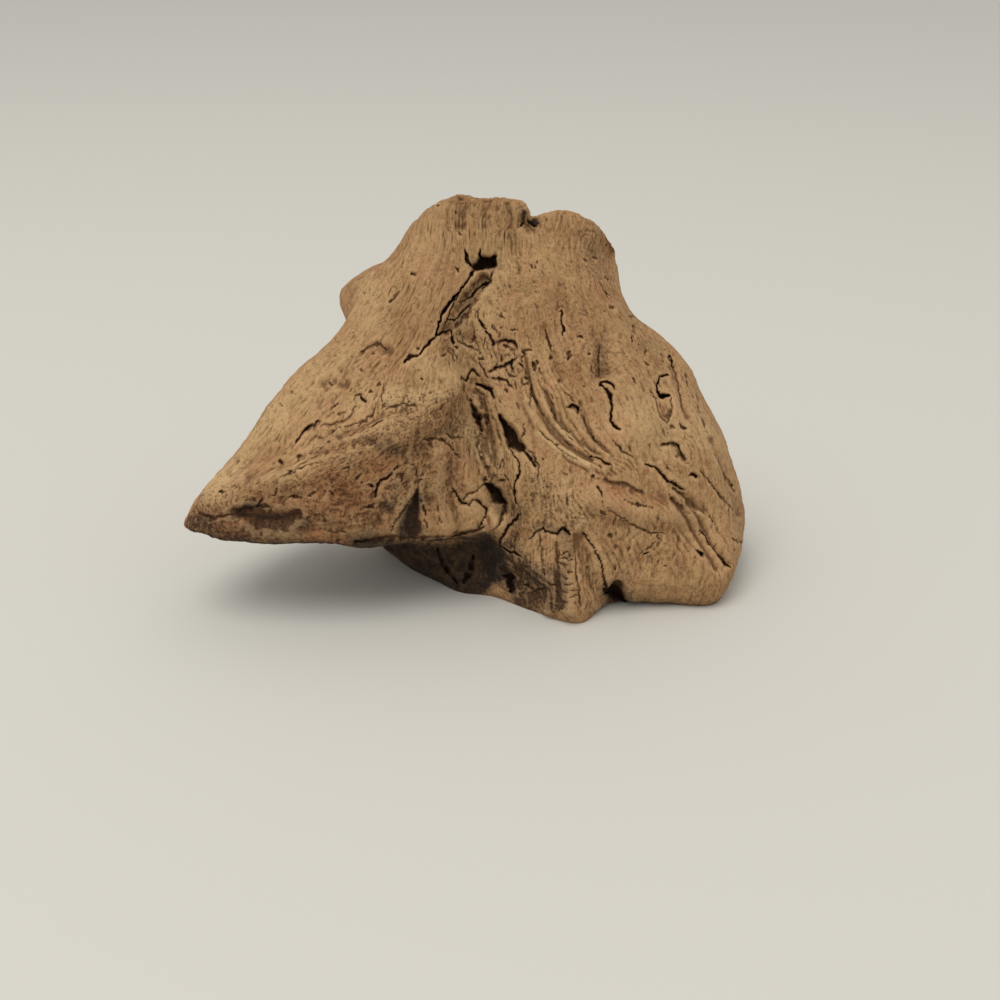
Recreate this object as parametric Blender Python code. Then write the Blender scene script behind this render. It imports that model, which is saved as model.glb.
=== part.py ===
"""Driftwood: a weathered root stump about 28 cm long, one natural solid.

The stump is a loft. Its sections run from the crown down to the foot. The front of
each section is given as stations read off a front drawing, and its back as one curve.
Broad strokes then raise or sink the surface, and the main cracks are cut into it.
Lengths are millimetres until the mesh is made.
"""
import math

import bpy
import numpy as np

MM = 0.001

# The front drawing: a sheet square to the line of sight, seen from the eye point.
EYE = np.array([16.5, -652.9, 334.8])
LOOK_DOWN = math.radians(24.0)
SHEET_DISTANCE = 694.4
FORWARD = np.array([0.0, math.cos(LOOK_DOWN), -math.sin(LOOK_DOWN)])
UPWARD = np.array([0.0, math.sin(LOOK_DOWN), math.cos(LOOK_DOWN)])
SIDEWAYS = np.array([1.0, 0.0, 0.0])

GRID_SPACING = 1.3
FEWEST_STEPS = 2
TRIANGLES = 11600
BACK_STATIONS = 8
SMALLEST = 1e-9

WOOD_COLOUR = (0.24, 0.16, 0.095, 1.0)
WOOD_ROUGHNESS = 0.85

# Each section: stations (across the sheet, up the sheet, depth in space), from the
# left outline to the right one, then how far its back bulges and how far it drops.
SECTIONS = [
    ([(-35, 142, 26), (-34, 147, 20), (-29, 151.5, 16), (-21, 154, 14), (-15, 152.5, 14),
      (-8, 151.5, 14), (0, 151.5, 15), (11, 149.5, 15), (17, 141.5, 18), (34, 145, 20),
      (45, 139.5, 26), (53, 128, 36)], 34, 16),
    ([(-53, 126.5, 25), (-45, 124.5, 10), (-35, 124, 2), (-27, 123, 0), (-19, 122, 2),
      (-10, 122, 6), (0, 122, 8), (11, 122, 9), (22.5, 122, 10), (36, 123, 13),
      (50, 125, 22), (58, 119, 38)], 54, 24),
    ([(-79.5, 89, 4), (-64, 89, -8), (-51, 89, -14), (-38, 89, -16), (-26, 88, -12),
      (-13, 88, -5), (1, 88, -4), (17, 88, -4), (33, 89, -2), (49, 91, 4),
      (61.5, 93.5, 14), (65, 95, 32)], 74, 30),
    ([(-105, 61.5, -12), (-89, 59, -26), (-72, 57, -34), (-54, 56, -36), (-35, 56, -31),
      (-19, 57, -14), (-1, 58, -14), (19, 58, -16), (40, 59.5, -15), (62, 63, -8),
      (81, 68.5, 8), (92.5, 69.5, 30)], 86, 30),
    ([(-131, 25.5, -28), (-109, 22, -45), (-84, 23, -56), (-58, 27, -53), (-33, 32, -38),
      (-11, 30, -20), (7.5, 30, -24), (28, 30, -28), (51, 32, -27), (76, 36, -18),
      (97, 43, -2), (108, 40, 26)], 94, 24),
    ([(-153.5, -5, -41), (-132, 0, -56), (-101, 4, -60), (-69, 5, -57), (-36, 6, -42),
      (-6, 7, -32), (11, 7, -36), (31, 5, -40), (57, 6, -38), (85, 12, -27),
      (108, 19, -6), (120, 7.5, 24)], 98, 12),
    ([(-150.5, -13, -40), (-131, -21, -50), (-97, -22.5, -54), (-66, -23, -50),
      (-34, -18, -40), (-1, -15, -32), (12.5, -16, -39), (31, -20, -46),
      (58, -18, -42), (88, -12, -30), (112, -6, -10), (122, -10, 20)], 98, 8),
]
CROWN_POLE = (5, 133, 46)

# Below the overhang the sections are given in space: (x, y, z), and the same two back values.
UNDERCUT = ([(-80, 10, 45), (-68, -2, 42), (-52, -6, 37), (-34, -8, 32), (-14, -12, 28),
             (7, -17, 23), (24, -36, 20), (48, -52, 18), (70, -44, 18), (98, -39, 18),
             (129, -33, 16), (140, 2, 18)], 88, 12)
FOOT = ([(-45, 38, -1), (-37, 23, -2), (-28, 9, -2), (-14, -7, -1), (-3, -18, -1),
         (14, -23, 0), (32, -36, -1), (56, -49, -2), (71, -31, 1), (96, -28, -1),
         (123, -28, -2), (133, 4, -1)], 77, 0)
SOLE_CENTRE = (48, 28)
SOLE_SHRINK = 0.72
SOLE_RISE = 7
SOLE_SNAP = 0.15

# Strokes on the front drawing, in its squares of half a millimetre, counted from its upper
# left corner. Each has a half width and a depth in mm; a negative depth raises the wood.
DRAWING_MIDDLE = 500
SQUARE = 0.5
FRONT_FORMS = {
    "central_valley": (12, 4.5, [(462, 350), (474, 392), (484, 430), (490, 470), (500, 514)]),
    "valley_core": (6, 1.8, [(474, 384), (482, 430), (491, 480), (503, 512)]),
    "lobe_brow": (13, -3, [(222, 500), (270, 478), (330, 456), (390, 434), (430, 412), (454, 386)]),
    "brow_end": (9, -3, [(440, 400), (458, 372), (462, 352)]),
    "beak_hollow": (8, 3.5, [(236, 513, 0.6), (256, 520, 1), (280, 523, 1), (296, 516, 0.5)]),
    "lobe_face_hollow": (12, 2.5, [(345, 500), (380, 520)]),
    "lobe_flank_rib": (7, -2.5, [(440, 452), (438, 490), (446, 525)]),
    "lobe_plane_hollow": (14, 2, [(330, 400), (372, 372), (400, 330)]),
    "valley_bump": (4.5, -3, [(496, 513), (497, 524)]),
    "bulge_rib": (5, -2.5, [(566, 538), (567, 570), (570, 608)]),
    "bulge_left_groove": (2.6, 1.1, [(556, 545), (557, 570), (558, 598)]),
    "bulge_left_hollow": (11, 4.5, [(516, 580), (534, 596)]),
    "bulge_right_hollow": (7, 2.5, [(580, 540), (590, 575), (604, 596)]),
    "base_notch": (5, 6, [(618, 588), (615, 606)]),
    "skirt_flow_a": (3.4, 1.6, [(524, 352, 0.5), (530, 382, 0.8), (538, 408, 1), (552, 430, 1),
                              (572, 450, 0.9), (592, 460, 0.5)]),
    "skirt_flow_b": (3.2, 1.4, [(546, 392, 0.5), (552, 408, 0.9), (562, 424, 1), (576, 440, 1),
                                (602, 458, 0.6)]),
    "skirt_flow_c": (2.8, 1.1, [(580, 402, 0.5), (584, 416, 1), (590, 432, 1), (602, 448, 0.8),
                                (612, 456, 0.4)]),
    "skirt_ridge_a": (2.8, -1.5, [(526, 402), (538, 424), (558, 447), (582, 463), (604, 471)]),
    "skirt_ridge_b": (2.4, -1.2, [(542, 400), (553, 420), (568, 438), (590, 454)]),
    "skirt_ridge_c": (2.6, -1.1, [(572, 412), (580, 430), (594, 446), (608, 455)]),
    "valley_rib": (3, -2.2, [(488, 402), (494, 430), (500, 462)]),
    "slit_left_hollow": (6, 1.6, [(607, 342), (602, 356), (603, 370)]),
    "lens_pocket": (5, 1.8, [(661, 384), (663, 400), (666, 414)]),
    "crown_cup": (7, 4, [(528, 222), (530, 224)]),
    "crown_groove_left": (4.5, 2.2, [(464, 190), (461, 226)]),
    "crown_groove_mid": (4, 1.5, [(488, 192), (486, 226)]),
    "crown_groove_right": (4.5, 1.2, [(507, 203, 0.6), (513, 236, 1), (519, 272, 0.5)]),
    "crest_groove": (6, 1.1, [(560, 222), (565, 266), (560, 306)]),
    "crest_fold": (4, 1.4, [(545, 328), (552, 352), (560, 378)]),
    "lobe_fold_high": (4, 1.6, [(340, 370), (358, 354), (372, 344), (386, 346)]),
    "lobe_fold_mid": (4.5, 1.8, [(322, 382), (330, 378), (342, 380)]),
    "lobe_ledge": (4, 1.3, [(340, 436), (366, 424), (390, 412), (414, 408)]),
    "lobe_fold_low": (4, 1.5, [(250, 478), (284, 466), (322, 452), (372, 440)]),
    "crown_right_hollow": (11, 3, [(600, 256), (616, 288)]),
    "shoulder_dent": (9, 2.5, [(600, 336), (602, 372)]),
    "shoulder_swell": (16, -3, [(630, 380), (640, 430)]),
    "skirt_step": (9, -2.5, [(590, 498), (640, 512), (690, 516)]),
    "skirt_foot_hollow": (10, 2, [(645, 560), (680, 568)]),
    "corner_groove_a": (2.6, 2.4, [(690, 504), (714, 545), (727, 564)]),
    "corner_groove_b": (2.6, 2, [(674, 500), (699, 538), (716, 568)]),
    "shelf_groove": (3.5, 1.6, [(674, 486), (688, 496), (704, 510)]),
    "right_edge_groove": (3, 1.4, [(712, 440), (725, 470), (738, 514)]),
    "right_band_groove": (3, 1.3, [(674, 366), (680, 390), (688, 416)]),
}
FRONT_CUTS = {
    "cleft_hole": (4.2, 12, [(476, 268, 0.6), (483, 262, 1), (491, 262, 0.9), (494, 258, 0.5)]),
    "cleft_hole_peak": (2.6, 9, [(482, 262, 1), (480, 256, 0.8), (479, 250, 0.4)]),
    "cleft_floor": (5.4, 4.5, [(484, 279, 0.8), (475, 292, 0.95), (463, 309, 1), (449, 328, 0.9)]),
    "cleft_wall": (1.4, 8, [(473, 271, 0.9), (463, 286, 0.8), (451, 302, 1), (441, 317, 0.8),
                            (437, 333, 0.7)]),
    "cleft_end": (1.6, 6, [(437, 334, 0.8), (445, 331, 0.9), (452, 331, 0.6), (457, 343, 1)]),
    "cleft_tail": (1.6, 5, [(437, 336, 0.5), (430, 343, 1), (421, 352, 0.7)]),
    "cleft_tail_pits": (2.4, 4, [(418, 354, 0.7), (411, 356, 1), (406, 361, 0.6)]),
    "teardrop": (2.2, 5, [(464, 249, 0.2), (466, 257, 0.8), (470, 264, 1), (473, 269, 0.4)]),
    "upper_chip": (1.6, 3.5, [(479, 321, 0.8), (483, 326, 1), (487, 329, 0.4)]),
    "chip_a": (1.6, 4, [(486, 331, 0.5), (492, 337, 0.8), (494, 344, 1)]),
    "hanging_slit": (1.6, 3.5, [(561, 311, 0.6), (562, 319, 0.5), (563, 328, 0.9), (563, 335, 0.3)]),
    "zigzag": (1.5, 3, [(457, 379, 0.9), (461, 376, 1), (466, 381, 0.7), (470, 376, 0.7),
                        (473, 370, 0.9), (479, 377, 0.5)]),
    "valley_recess": (3, 5, [(477, 384, 0.5), (484, 388, 1), (490, 391, 0.9), (492, 398, 0.5)]),
    "valley_crack": (2.6, 6, [(471, 401, 0.3), (476, 411, 0.7), (479, 422, 1), (482, 431, 0.4)]),
    "valley_hole": (4.6, 10, [(500, 415, 0.3), (504, 421, 0.6), (509, 432, 0.9), (514, 443, 1),
                              (520, 448, 0.6)]),
    "valley_hole_tail": (1.8, 4, [(520, 448, 1), (529, 456, 0.7), (536, 466, 0.8)]),
    "valley_low_hole": (3.2, 8, [(488, 486, 0.5), (493, 494, 0.9), (498, 503, 1), (503, 509, 0.4)]),
    "valley_thread": (1.4, 3.5, [(508, 447, 0.4), (514, 456, 0.6), (520, 463, 0.8), (519, 473, 0.9),
                                 (514, 484, 0.8), (513, 496, 1), (515, 504, 0.6)]),
    "long_slit": (2.3, 7, [(601, 384, 0.5), (605, 391, 0.9), (609, 400, 1), (611, 409, 0.6),
                         (611, 418, 0.6), (613, 425, 1), (620, 429, 0.4)]),
    "long_slit_arc": (1.4, 3.5, [(600, 386, 0.8), (603, 382, 1), (608, 384, 0.9), (613, 390, 0.4)]),
    "square_hole": (2.8, 8, [(658, 391, 0.7), (663, 395, 1), (668, 395, 0.8)]),
    "square_hole_side": (1.7, 5, [(668, 374, 0.4), (659, 378, 0.8), (657, 385, 1), (658, 391, 0.9)]),
    "high_hole": (2, 5, [(669, 357, 0.8), (673, 361, 1), (675, 366, 0.3)]),
    "round_pit": (2.3, 5, [(692, 475, 0.9), (696, 476, 1)]),
    "shelf_crack": (2.2, 4.5, [(646, 464, 0.4), (655, 465, 0.5), (661, 472, 0.8), (668, 480, 1),
                               (676, 484, 0.8), (686, 491, 0.3)]),
    "flow_end_pit": (1.7, 4, [(589, 456, 0.3), (600, 459, 0.6), (606, 463, 1), (609, 465, 0.7)]),
    "short_slit": (1.5, 3, [(596, 486, 0.5), (600, 492, 1), (601, 496, 0.4)]),
    "lobe_pit": (2, 3.5, [(360, 396, 0.8), (364, 399, 1)]),
    "face_notch": (6.5, 4.5, [(417, 490, 0.1), (413, 508, 0.65), (412, 528, 1)]),
    "face_crack": (1.6, 3, [(398, 467, 0.4), (391, 474, 0.7), (381, 481, 1), (377, 489, 0.9),
                            (376, 498, 0.5)]),
    "flank_fork": (1.3, 3, [(452, 487, 0.4), (458, 496, 0.7), (463, 503, 1), (470, 505, 0.6),
                            (476, 499, 0.7), (481, 504, 0.9), (488, 512, 1), (486, 518, 0.7),
                            (480, 526, 0.8)]),
    "bulge_crack": (1.4, 3, [(528, 540, 0.3), (537, 531, 0.6), (543, 528, 0.8), (549, 533, 0.8),
                             (557, 534, 1), (563, 528, 0.8), (570, 534, 0.5)]),
    "bulge_hole": (3, 6, [(504, 577, 0.7), (508, 584, 1), (511, 592, 0.6)]),
    "bulge_side_crack": (1.2, 3, [(584, 533, 0.5), (592, 545, 0.7), (599, 558, 0.8), (602, 573, 0.7),
                                  (606, 587, 1)]),
    "cross_crack": (1.4, 3.5, [(499, 544, 0.7), (506, 551, 1), (514, 554, 0.9), (522, 557, 0.4)]),
    "cross_crack_high": (1.8, 3, [(520, 514, 0.5), (511, 524, 0.8), (504, 534, 1), (499, 543, 0.8)]),
    "base_notch_hole": (4, 8, [(608, 592, 0.8), (616, 597, 1), (624, 602, 0.9), (630, 605, 0.5)]),
    "low_pit_left": (1.6, 3, [(646, 553, 0.8), (649, 552, 1)]),
    "low_pit_right": (1.8, 4, [(698, 551, 0.8), (702, 555, 1)]),
    "corner_cut": (1.3, 3, [(700, 529, 0.3), (711, 544, 0.7), (721, 557, 1), (730, 568, 0.9)]),
    "crown_cup_high": (1.6, 3, [(531, 217, 0.7), (535, 222, 1), (537, 225, 0.5)]),
    "crown_cup_low": (1.4, 3, [(518, 226, 0.8), (522, 227, 1), (527, 223, 0.4)]),
}
# Lips drop at once on the left hand of someone who walks the path, and rise slowly on the right.
FRONT_LIPS = {
    "chip_b": (3.4, 3, [(499, 341, 0.8), (508, 340, 1), (514, 342, 1), (516, 347, 0.7)]),
    "chip_c": (3, 3, [(490, 370, 0.7), (498, 367, 1), (504, 366, 0.8), (511, 361, 1), (513, 371, 0.5)]),
    "chip_d": (2.2, 2.2, [(492, 377, 0.8), (500, 379, 1), (507, 379, 1), (512, 388, 0.5)]),
    "corner_pit": (3.2, 4, [(568, 406, 0.5), (573, 405, 1), (578, 408, 1), (578, 412, 0.5)]),
    "arc_pit": (4.6, 3.5, [(664, 443, 0.5), (673, 442, 0.8), (679, 447, 1), (682, 453, 1),
                           (686, 459, 0.5)]),
    "lobe_slit": (2.8, 3, [(293, 441, 0.5), (299, 432, 0.9), (307, 425, 1), (317, 419, 0.5)]),
    "lip_crack": (5, 2.2, [(604, 479, 0.5), (614, 483, 1), (626, 485, 1), (633, 488, 0.9),
                           (642, 491, 0.5)]),
    "lobe_curve": (3, 1.5, [(320, 424, 0.5), (340, 420, 1), (350, 415, 1), (354, 405, 0.6)]),
    "square_pocket": (2.6, 1.4, [(671, 398, 0.8), (672, 412, 1), (668, 423, 0.8), (660, 417, 1),
                                 (655, 405, 1), (650, 392, 0.5)]),
}

# The back drawing is the same sheet seen from behind, with its own squares.
BACK_FORMS = {
    "back_ridge": (22, -6, [(432, 260), (440, 330), (450, 460), (440, 580)]),
    "back_hollow_beak": (26, 7, [(560, 330), (620, 430), (690, 480)]),
    "back_hollow_side": (20, 6, [(360, 330), (350, 440), (340, 540)]),
    "back_root_stub": (13, -7, [(520, 470), (545, 520)]),
    "back_low_hollow": (16, 5, [(480, 540), (560, 570)]),
    "back_groove_a": (4, 2.5, [(470, 240), (490, 340), (530, 440), (600, 510)]),
    "back_groove_b": (3.5, 2, [(410, 260), (404, 380), (390, 500)]),
    "back_groove_c": (3.5, 2, [(500, 250), (560, 340), (640, 420), (740, 480)]),
    "back_foot_rib_a": (7, -3, [(544, 490), (536, 550), (530, 596)]),
    "back_foot_rib_b": (9, -3.5, [(462, 480), (470, 560), (464, 612)]),
    "back_foot_rib_c": (8, -3, [(352, 490), (366, 556), (360, 612)]),
    "back_foot_rib_d": (7, -3, [(278, 490), (264, 550), (270, 594)]),
    "back_foot_groove_a": (5, 3.5, [(512, 516), (500, 566), (506, 610)]),
    "back_foot_groove_b": (6, 4, [(408, 500), (422, 566), (414, 620)]),
    "back_foot_groove_c": (6, 4, [(310, 500), (318, 556), (308, 604)]),
}
BACK_CUTS = {
    "back_crack_long": (2.4, 6, [(446, 300), (462, 350), (468, 400), (492, 450)]),
    "back_crack_side": (2, 5, [(380, 360), (376, 400), (384, 440)]),
    "back_crack_beak": (1.8, 4, [(600, 400), (640, 424), (690, 446)]),
    "back_hole_high": (3.2, 8, [(500, 330), (506, 344)]),
    "back_hole_low": (3.6, 8, [(420, 500), (430, 512)]),
}
DRAWINGS = ((False, FRONT_FORMS, FRONT_CUTS, FRONT_LIPS), (True, BACK_FORMS, BACK_CUTS, {}))

# A rounded knob that stands out behind the left outline: middle, radius and push, in space.
KNOB_MIDDLE = (-50, 34, 143)
KNOB_RADIUS = 26
KNOB_PUSH = (-15, 5, 2)

# Weathering: soft lumps, and ribs that run with the grain.
LUMP_SIZE = 34
LUMP_HEIGHT = 1.6
SMALL_LUMP_SIZE = 12
SMALL_LUMP_HEIGHT = 0.7
RIB_WIDTH = 7
RIB_STRETCH = 9
RIB_HEIGHT = 0.5
EDGE_WANDER = 0.7
EDGE_WANDER_SIZE = 4
END_SHARE = 0.4
CUT_FLOOR = 0.35
LIP_DROP = 0.3
LIP_EASE = 1.5
NOISE_SEED = 11
NOISE_CELLS = 64
GRAIN_DRUM = 90
GRAIN_LENGTH = 260
FULL_FACING = 0.25
FOOT_FADE = 5
BACK_EYE_SHIFT = 40


def on_sight_line(across, up, depth):
    """The point in space seen at (across, up) on the sheet, at the given depth."""
    ray = FORWARD + across / SHEET_DISTANCE * SIDEWAYS + up / SHEET_DISTANCE * UPWARD
    return EYE + ray * ((depth - EYE[1]) / ray[1])


def drawing_frame(behind):
    """How the drawing is turned and where its middle is, for the front one or the back one."""
    if behind:
        return np.array([-1.0, -1.0, 1.0]), np.array([0.0, BACK_EYE_SHIFT, 0.0])
    return np.ones(3), np.zeros(3)


def on_drawing(points, behind=False):
    """Where points in space are seen on the drawing, in squares."""
    turn, middle = drawing_frame(behind)
    arm = (points - middle) * turn - EYE
    sheet = np.stack([arm @ SIDEWAYS, -(arm @ UPWARD)], axis=-1) / (arm @ FORWARD)[:, None]
    return sheet * SHEET_DISTANCE / SQUARE + DRAWING_MIDDLE


def closed_section(front, bulge, drop):
    """A section's front stations, joined round the back by half an oval."""
    turns = np.pi * np.arange(1, BACK_STATIONS + 1) / (BACK_STATIONS + 1)
    share = (1 - np.cos(turns)) / 2
    chord = front[-1] * (1 - share[:, None]) + front[0] * share[:, None]
    swell = np.sin(turns)[:, None] * np.array([0.0, bulge, -drop])
    return np.vstack([front, chord + swell])


def control_net():
    """All sections from the crown pole to the middle of the sole."""
    rows = [closed_section(np.array([on_sight_line(*s) for s in stations]), bulge, drop)
            for stations, bulge, drop in SECTIONS]
    rows += [closed_section(np.array(stations, float), bulge, drop)
             for stations, bulge, drop in (UNDERCUT, FOOT)]
    middle = np.array([*SOLE_CENTRE, 0.0])
    sole = middle + (rows[-1] - middle) * SOLE_SHRINK
    sole[:, 2] = SOLE_RISE
    count = len(sole)
    rows.append(sole)
    rows.append(np.tile(middle + (0, 0, SOLE_RISE), (count, 1)))
    rows.insert(0, np.tile(on_sight_line(*CROWN_POLE), (count, 1)))
    return np.array(rows)


def spline_weights(count, steps, closed):
    """Catmull-Rom weights, one row a sample; steps[i] samples start in span i."""
    rows = []
    for span, number in enumerate(steps):
        for t in np.arange(number) / number:
            curve = (-t + 2 * t**2 - t**3, 2 - 5 * t**2 + 3 * t**3, t + 4 * t**2 - 3 * t**3, t**3 - t**2)
            row = np.zeros(count)
            for offset, weight in zip((-1, 0, 1, 2), curve):
                place = span + offset
                place = place % count if closed else min(max(place, 0), count - 1)
                row[place] += weight / 2
            rows.append(row)
    if not closed:
        rows.append(np.eye(count)[-1])
    return np.array(rows)


def loft(net, spacing):
    """Sample the net about every `spacing` mm: points in rows and columns."""
    down = np.linalg.norm(np.diff(net, axis=0), axis=2).mean(axis=1)
    around = np.linalg.norm(np.roll(net, -1, axis=1) - net, axis=2)[2:-3].mean(axis=0)
    row_steps = np.maximum(FEWEST_STEPS, np.ceil(down / spacing)).astype(int)
    column_steps = np.maximum(FEWEST_STEPS, np.ceil(around / spacing)).astype(int)
    row_weights = spline_weights(len(net), row_steps, closed=False)
    column_weights = spline_weights(net.shape[1], column_steps, closed=True)
    return np.einsum("ir,jc,rcx->ijx", row_weights, column_weights, net)


def grid_faces(rows, columns):
    """Quads of a grid that closes round its columns, with a fan of triangles at each pole."""
    def at(row, column):
        """The number of a point; the pole comes first."""
        return 1 + (row - 1) * columns + column % columns

    last = 1 + (rows - 2) * columns
    faces = [(0, at(1, j), at(1, j + 1)) for j in range(columns)]
    for i in range(1, rows - 2):
        faces += [(at(i, j), at(i + 1, j), at(i + 1, j + 1), at(i, j + 1)) for j in range(columns)]
    faces += [(at(rows - 2, j), last, at(rows - 2, j + 1)) for j in range(columns)]
    return faces


def grid_points(grid):
    """The grid's points as one list, with a single point at each pole."""
    return np.vstack([grid[0, :1], grid[1:-1].reshape(-1, 3), grid[-1, :1]])


def grid_normals(grid):
    """Outward directions on the grid, from the differences along its two ways."""
    down = np.gradient(grid, axis=0)
    around = np.roll(grid, -1, axis=1) - np.roll(grid, 1, axis=1)
    normals = np.cross(down, around)
    normals[0] = (0, 0, 1)
    normals[-1] = (0, 0, -1)
    return normals / np.maximum(np.linalg.norm(normals, axis=2, keepdims=True), SMALLEST)


def lattice_noise(points, seed):
    """Smooth noise from -1 to 1, from random values on a lattice of unit cells."""
    values = np.random.RandomState(seed).uniform(-1, 1, (NOISE_CELLS,) * 3)
    cell = np.floor(points).astype(int)
    part = points - cell
    part = part * part * (3 - 2 * part)
    total = np.zeros(len(points))
    for corner in np.ndindex(2, 2, 2):
        index = tuple(((cell + corner) % NOISE_CELLS).T)
        weight = np.where(corner, part, 1 - part).prod(axis=1)
        total += values[index] * weight
    return total


def smooth_step(low, high, value):
    """Eased rise from 0 at `low` to 1 at `high`."""
    share = np.clip((value - low) / (high - low), 0, 1)
    return share * share * (3 - 2 * share)


def stroke_path(path, thinning):
    """A path as rows of x, y and share of the half width; one without shares may thin to its ends."""
    path = np.array(path, float)
    if path.shape[1] == 3:
        return path
    if thinning and len(path) == 2:
        path = np.insert(path, 1, path.mean(axis=0), axis=0)
    shares = np.ones(len(path))
    if thinning:
        shares[[0, -1]] = END_SHARE
    return np.column_stack([path, shares])


def distance_to_path(points, path):
    """Distance from each point to a path in half widths, below zero on the left of the walk."""
    nearest = np.full(len(points), np.inf)
    for start, end in zip(path[:-1], path[1:]):
        piece = end - start
        step = piece[:2]
        share = np.clip((points - start[:2]) @ step / max(step @ step, SMALLEST), 0, 1)
        gap = points - start[:2] - share[:, None] * step
        away = np.hypot(gap[:, 0], gap[:, 1]) / (start[2] + share * piece[2])
        side = np.where(step[0] * gap[:, 1] < step[1] * gap[:, 0], -1.0, 1.0)
        nearest = np.where(away < np.abs(nearest), away * side, nearest)
    return nearest


def soft(away):
    """A rounded trough or rib."""
    return np.clip(1 - away**2, 0, 1)**2


def cut(away):
    """Steep sides and a level floor."""
    return 1 - smooth_step(CUT_FLOOR, 1, np.abs(away))


def lip(away):
    """A drop on the left and a slow rise on the right."""
    return np.where(away < 0, 1 - smooth_step(0, LIP_DROP, -away), np.clip(1 - away, 0, 1)**LIP_EASE)


def stroke_depth(seen, facing, strokes, profile):
    """Depth of a set of strokes at every point. Soft ones add up; of the others the deepest counts."""
    depth = np.zeros(len(seen))
    for half_width, stroke_deep, path in strokes.values():
        path = stroke_path(path, thinning=profile is not soft)
        reach = half_width / SQUARE
        low, high = path[:, :2].min(axis=0) - reach, path[:, :2].max(axis=0) + reach
        near = np.nonzero(np.all((seen > low) & (seen < high), axis=1) & (facing > 0))[0]
        shape = profile(distance_to_path(seen[near], path) / reach)
        share = shape * np.minimum(1, facing[near] / FULL_FACING) * stroke_deep
        depth[near] = depth[near] + share if profile is soft else np.maximum(depth[near], share)
    return depth


def to_eye(points, behind):
    """The unit direction from each point to the eye of the drawing."""
    turn, middle = drawing_frame(behind)
    arm = EYE * turn + middle - points
    return arm / np.linalg.norm(arm, axis=1, keepdims=True)


def weathering(points, grain):
    """Soft lumps all over, and ribs along the grain."""
    lumps = LUMP_HEIGHT * lattice_noise(points / LUMP_SIZE, NOISE_SEED)
    lumps += SMALL_LUMP_HEIGHT * lattice_noise(points / SMALL_LUMP_SIZE, NOISE_SEED + 4)
    ribs = lattice_noise(grain / RIB_WIDTH * (1, 1, 1 / RIB_STRETCH), NOISE_SEED + 1)
    return lumps + RIB_HEIGHT * ribs


def carve(points, normals, grain):
    """Raise the knob, sink or raise points along their normals, and sink cuts along the sight line."""
    gap = np.linalg.norm(points - KNOB_MIDDLE, axis=1) / KNOB_RADIUS
    points = points + soft(gap)[:, None] * np.array(KNOB_PUSH)
    wander = np.stack([lattice_noise(points / EDGE_WANDER_SIZE, NOISE_SEED + k) for k in (2, 3)], axis=1)
    move = normals * weathering(points, grain)[:, None]
    for behind, forms, cuts, lips in DRAWINGS:
        seen, eyeward = on_drawing(points, behind), to_eye(points, behind)
        facing = (eyeward * normals).sum(axis=1)
        move -= normals * stroke_depth(seen, facing, forms, soft)[:, None]
        seen = seen + wander * EDGE_WANDER / SQUARE
        sunk = np.maximum(stroke_depth(seen, facing, cuts, cut), stroke_depth(seen, facing, lips, lip))
        move -= eyeward * sunk[:, None]
    return points + move * smooth_step(0, FOOT_FADE, points[:, 2:])


def make_material():
    """Dry grey-brown wood."""
    material = bpy.data.materials.new("weathered_wood")
    material.use_nodes = True
    shader = material.node_tree.nodes["Principled BSDF"]
    shader.inputs["Base Color"].default_value = WOOD_COLOUR
    shader.inputs["Roughness"].default_value = WOOD_ROUGHNESS
    shader.inputs["Metallic"].default_value = 0.0
    return material


def grain_places(grid):
    """Where each point lies in the grain: round a drum, and down along the fibres."""
    rows, columns = grid.shape[:2]
    turn = 2 * np.pi * np.arange(columns) / columns
    down = np.linspace(0, GRAIN_LENGTH, rows)
    drum = np.empty(grid.shape)
    drum[..., 0] = GRAIN_DRUM * np.cos(turn)
    drum[..., 1] = GRAIN_DRUM * np.sin(turn)
    drum[..., 2] = down[:, None]
    return drum


def thinned(mesh, ratio):
    """The mesh with its flattest triangles merged, and its sole laid flat again."""
    dense = bpy.data.objects.new("dense", mesh)
    bpy.context.scene.collection.objects.link(dense)
    decimate = dense.modifiers.new("decimate", "DECIMATE")
    decimate.ratio = ratio
    decimate.use_collapse_triangulate = True
    thin = bpy.data.meshes.new_from_object(dense.evaluated_get(bpy.context.evaluated_depsgraph_get()))
    bpy.data.objects.remove(dense, do_unlink=True)
    bpy.data.meshes.remove(mesh)
    thin.name = "driftwood"
    for vertex in thin.vertices:
        if vertex.co.z < SOLE_SNAP * MM:
            vertex.co.z = 0.0
    return thin


def make_driftwood():
    """Loft, carve and thin the stump, and stand it with its box over the origin."""
    grid = loft(control_net(), GRID_SPACING)
    points = carve(grid_points(grid), grid_points(grid_normals(grid)), grid_points(grain_places(grid)))
    points[:, 2] = np.maximum(points[:, 2], 0.0)
    mesh = bpy.data.meshes.new("driftwood")
    mesh.from_pydata((points * MM).tolist(), [], grid_faces(*grid.shape[:2]))
    mesh.update()
    mesh = thinned(mesh, TRIANGLES / sum(len(face.vertices) - 2 for face in mesh.polygons))
    wood = bpy.data.objects.new("driftwood", mesh)
    collection = bpy.data.collections.new("driftwood")
    bpy.context.scene.collection.children.link(collection)
    collection.objects.link(wood)
    mesh.materials.append(make_material())
    mesh.shade_smooth()
    corners = np.array([vertex.co for vertex in mesh.vertices])
    middle = (corners.min(axis=0) + corners.max(axis=0)) / 2
    wood.location = (-middle[0], -middle[1], 0.0)


for old in list(bpy.data.objects):
    bpy.data.objects.remove(old, do_unlink=True)
make_driftwood()
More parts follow.
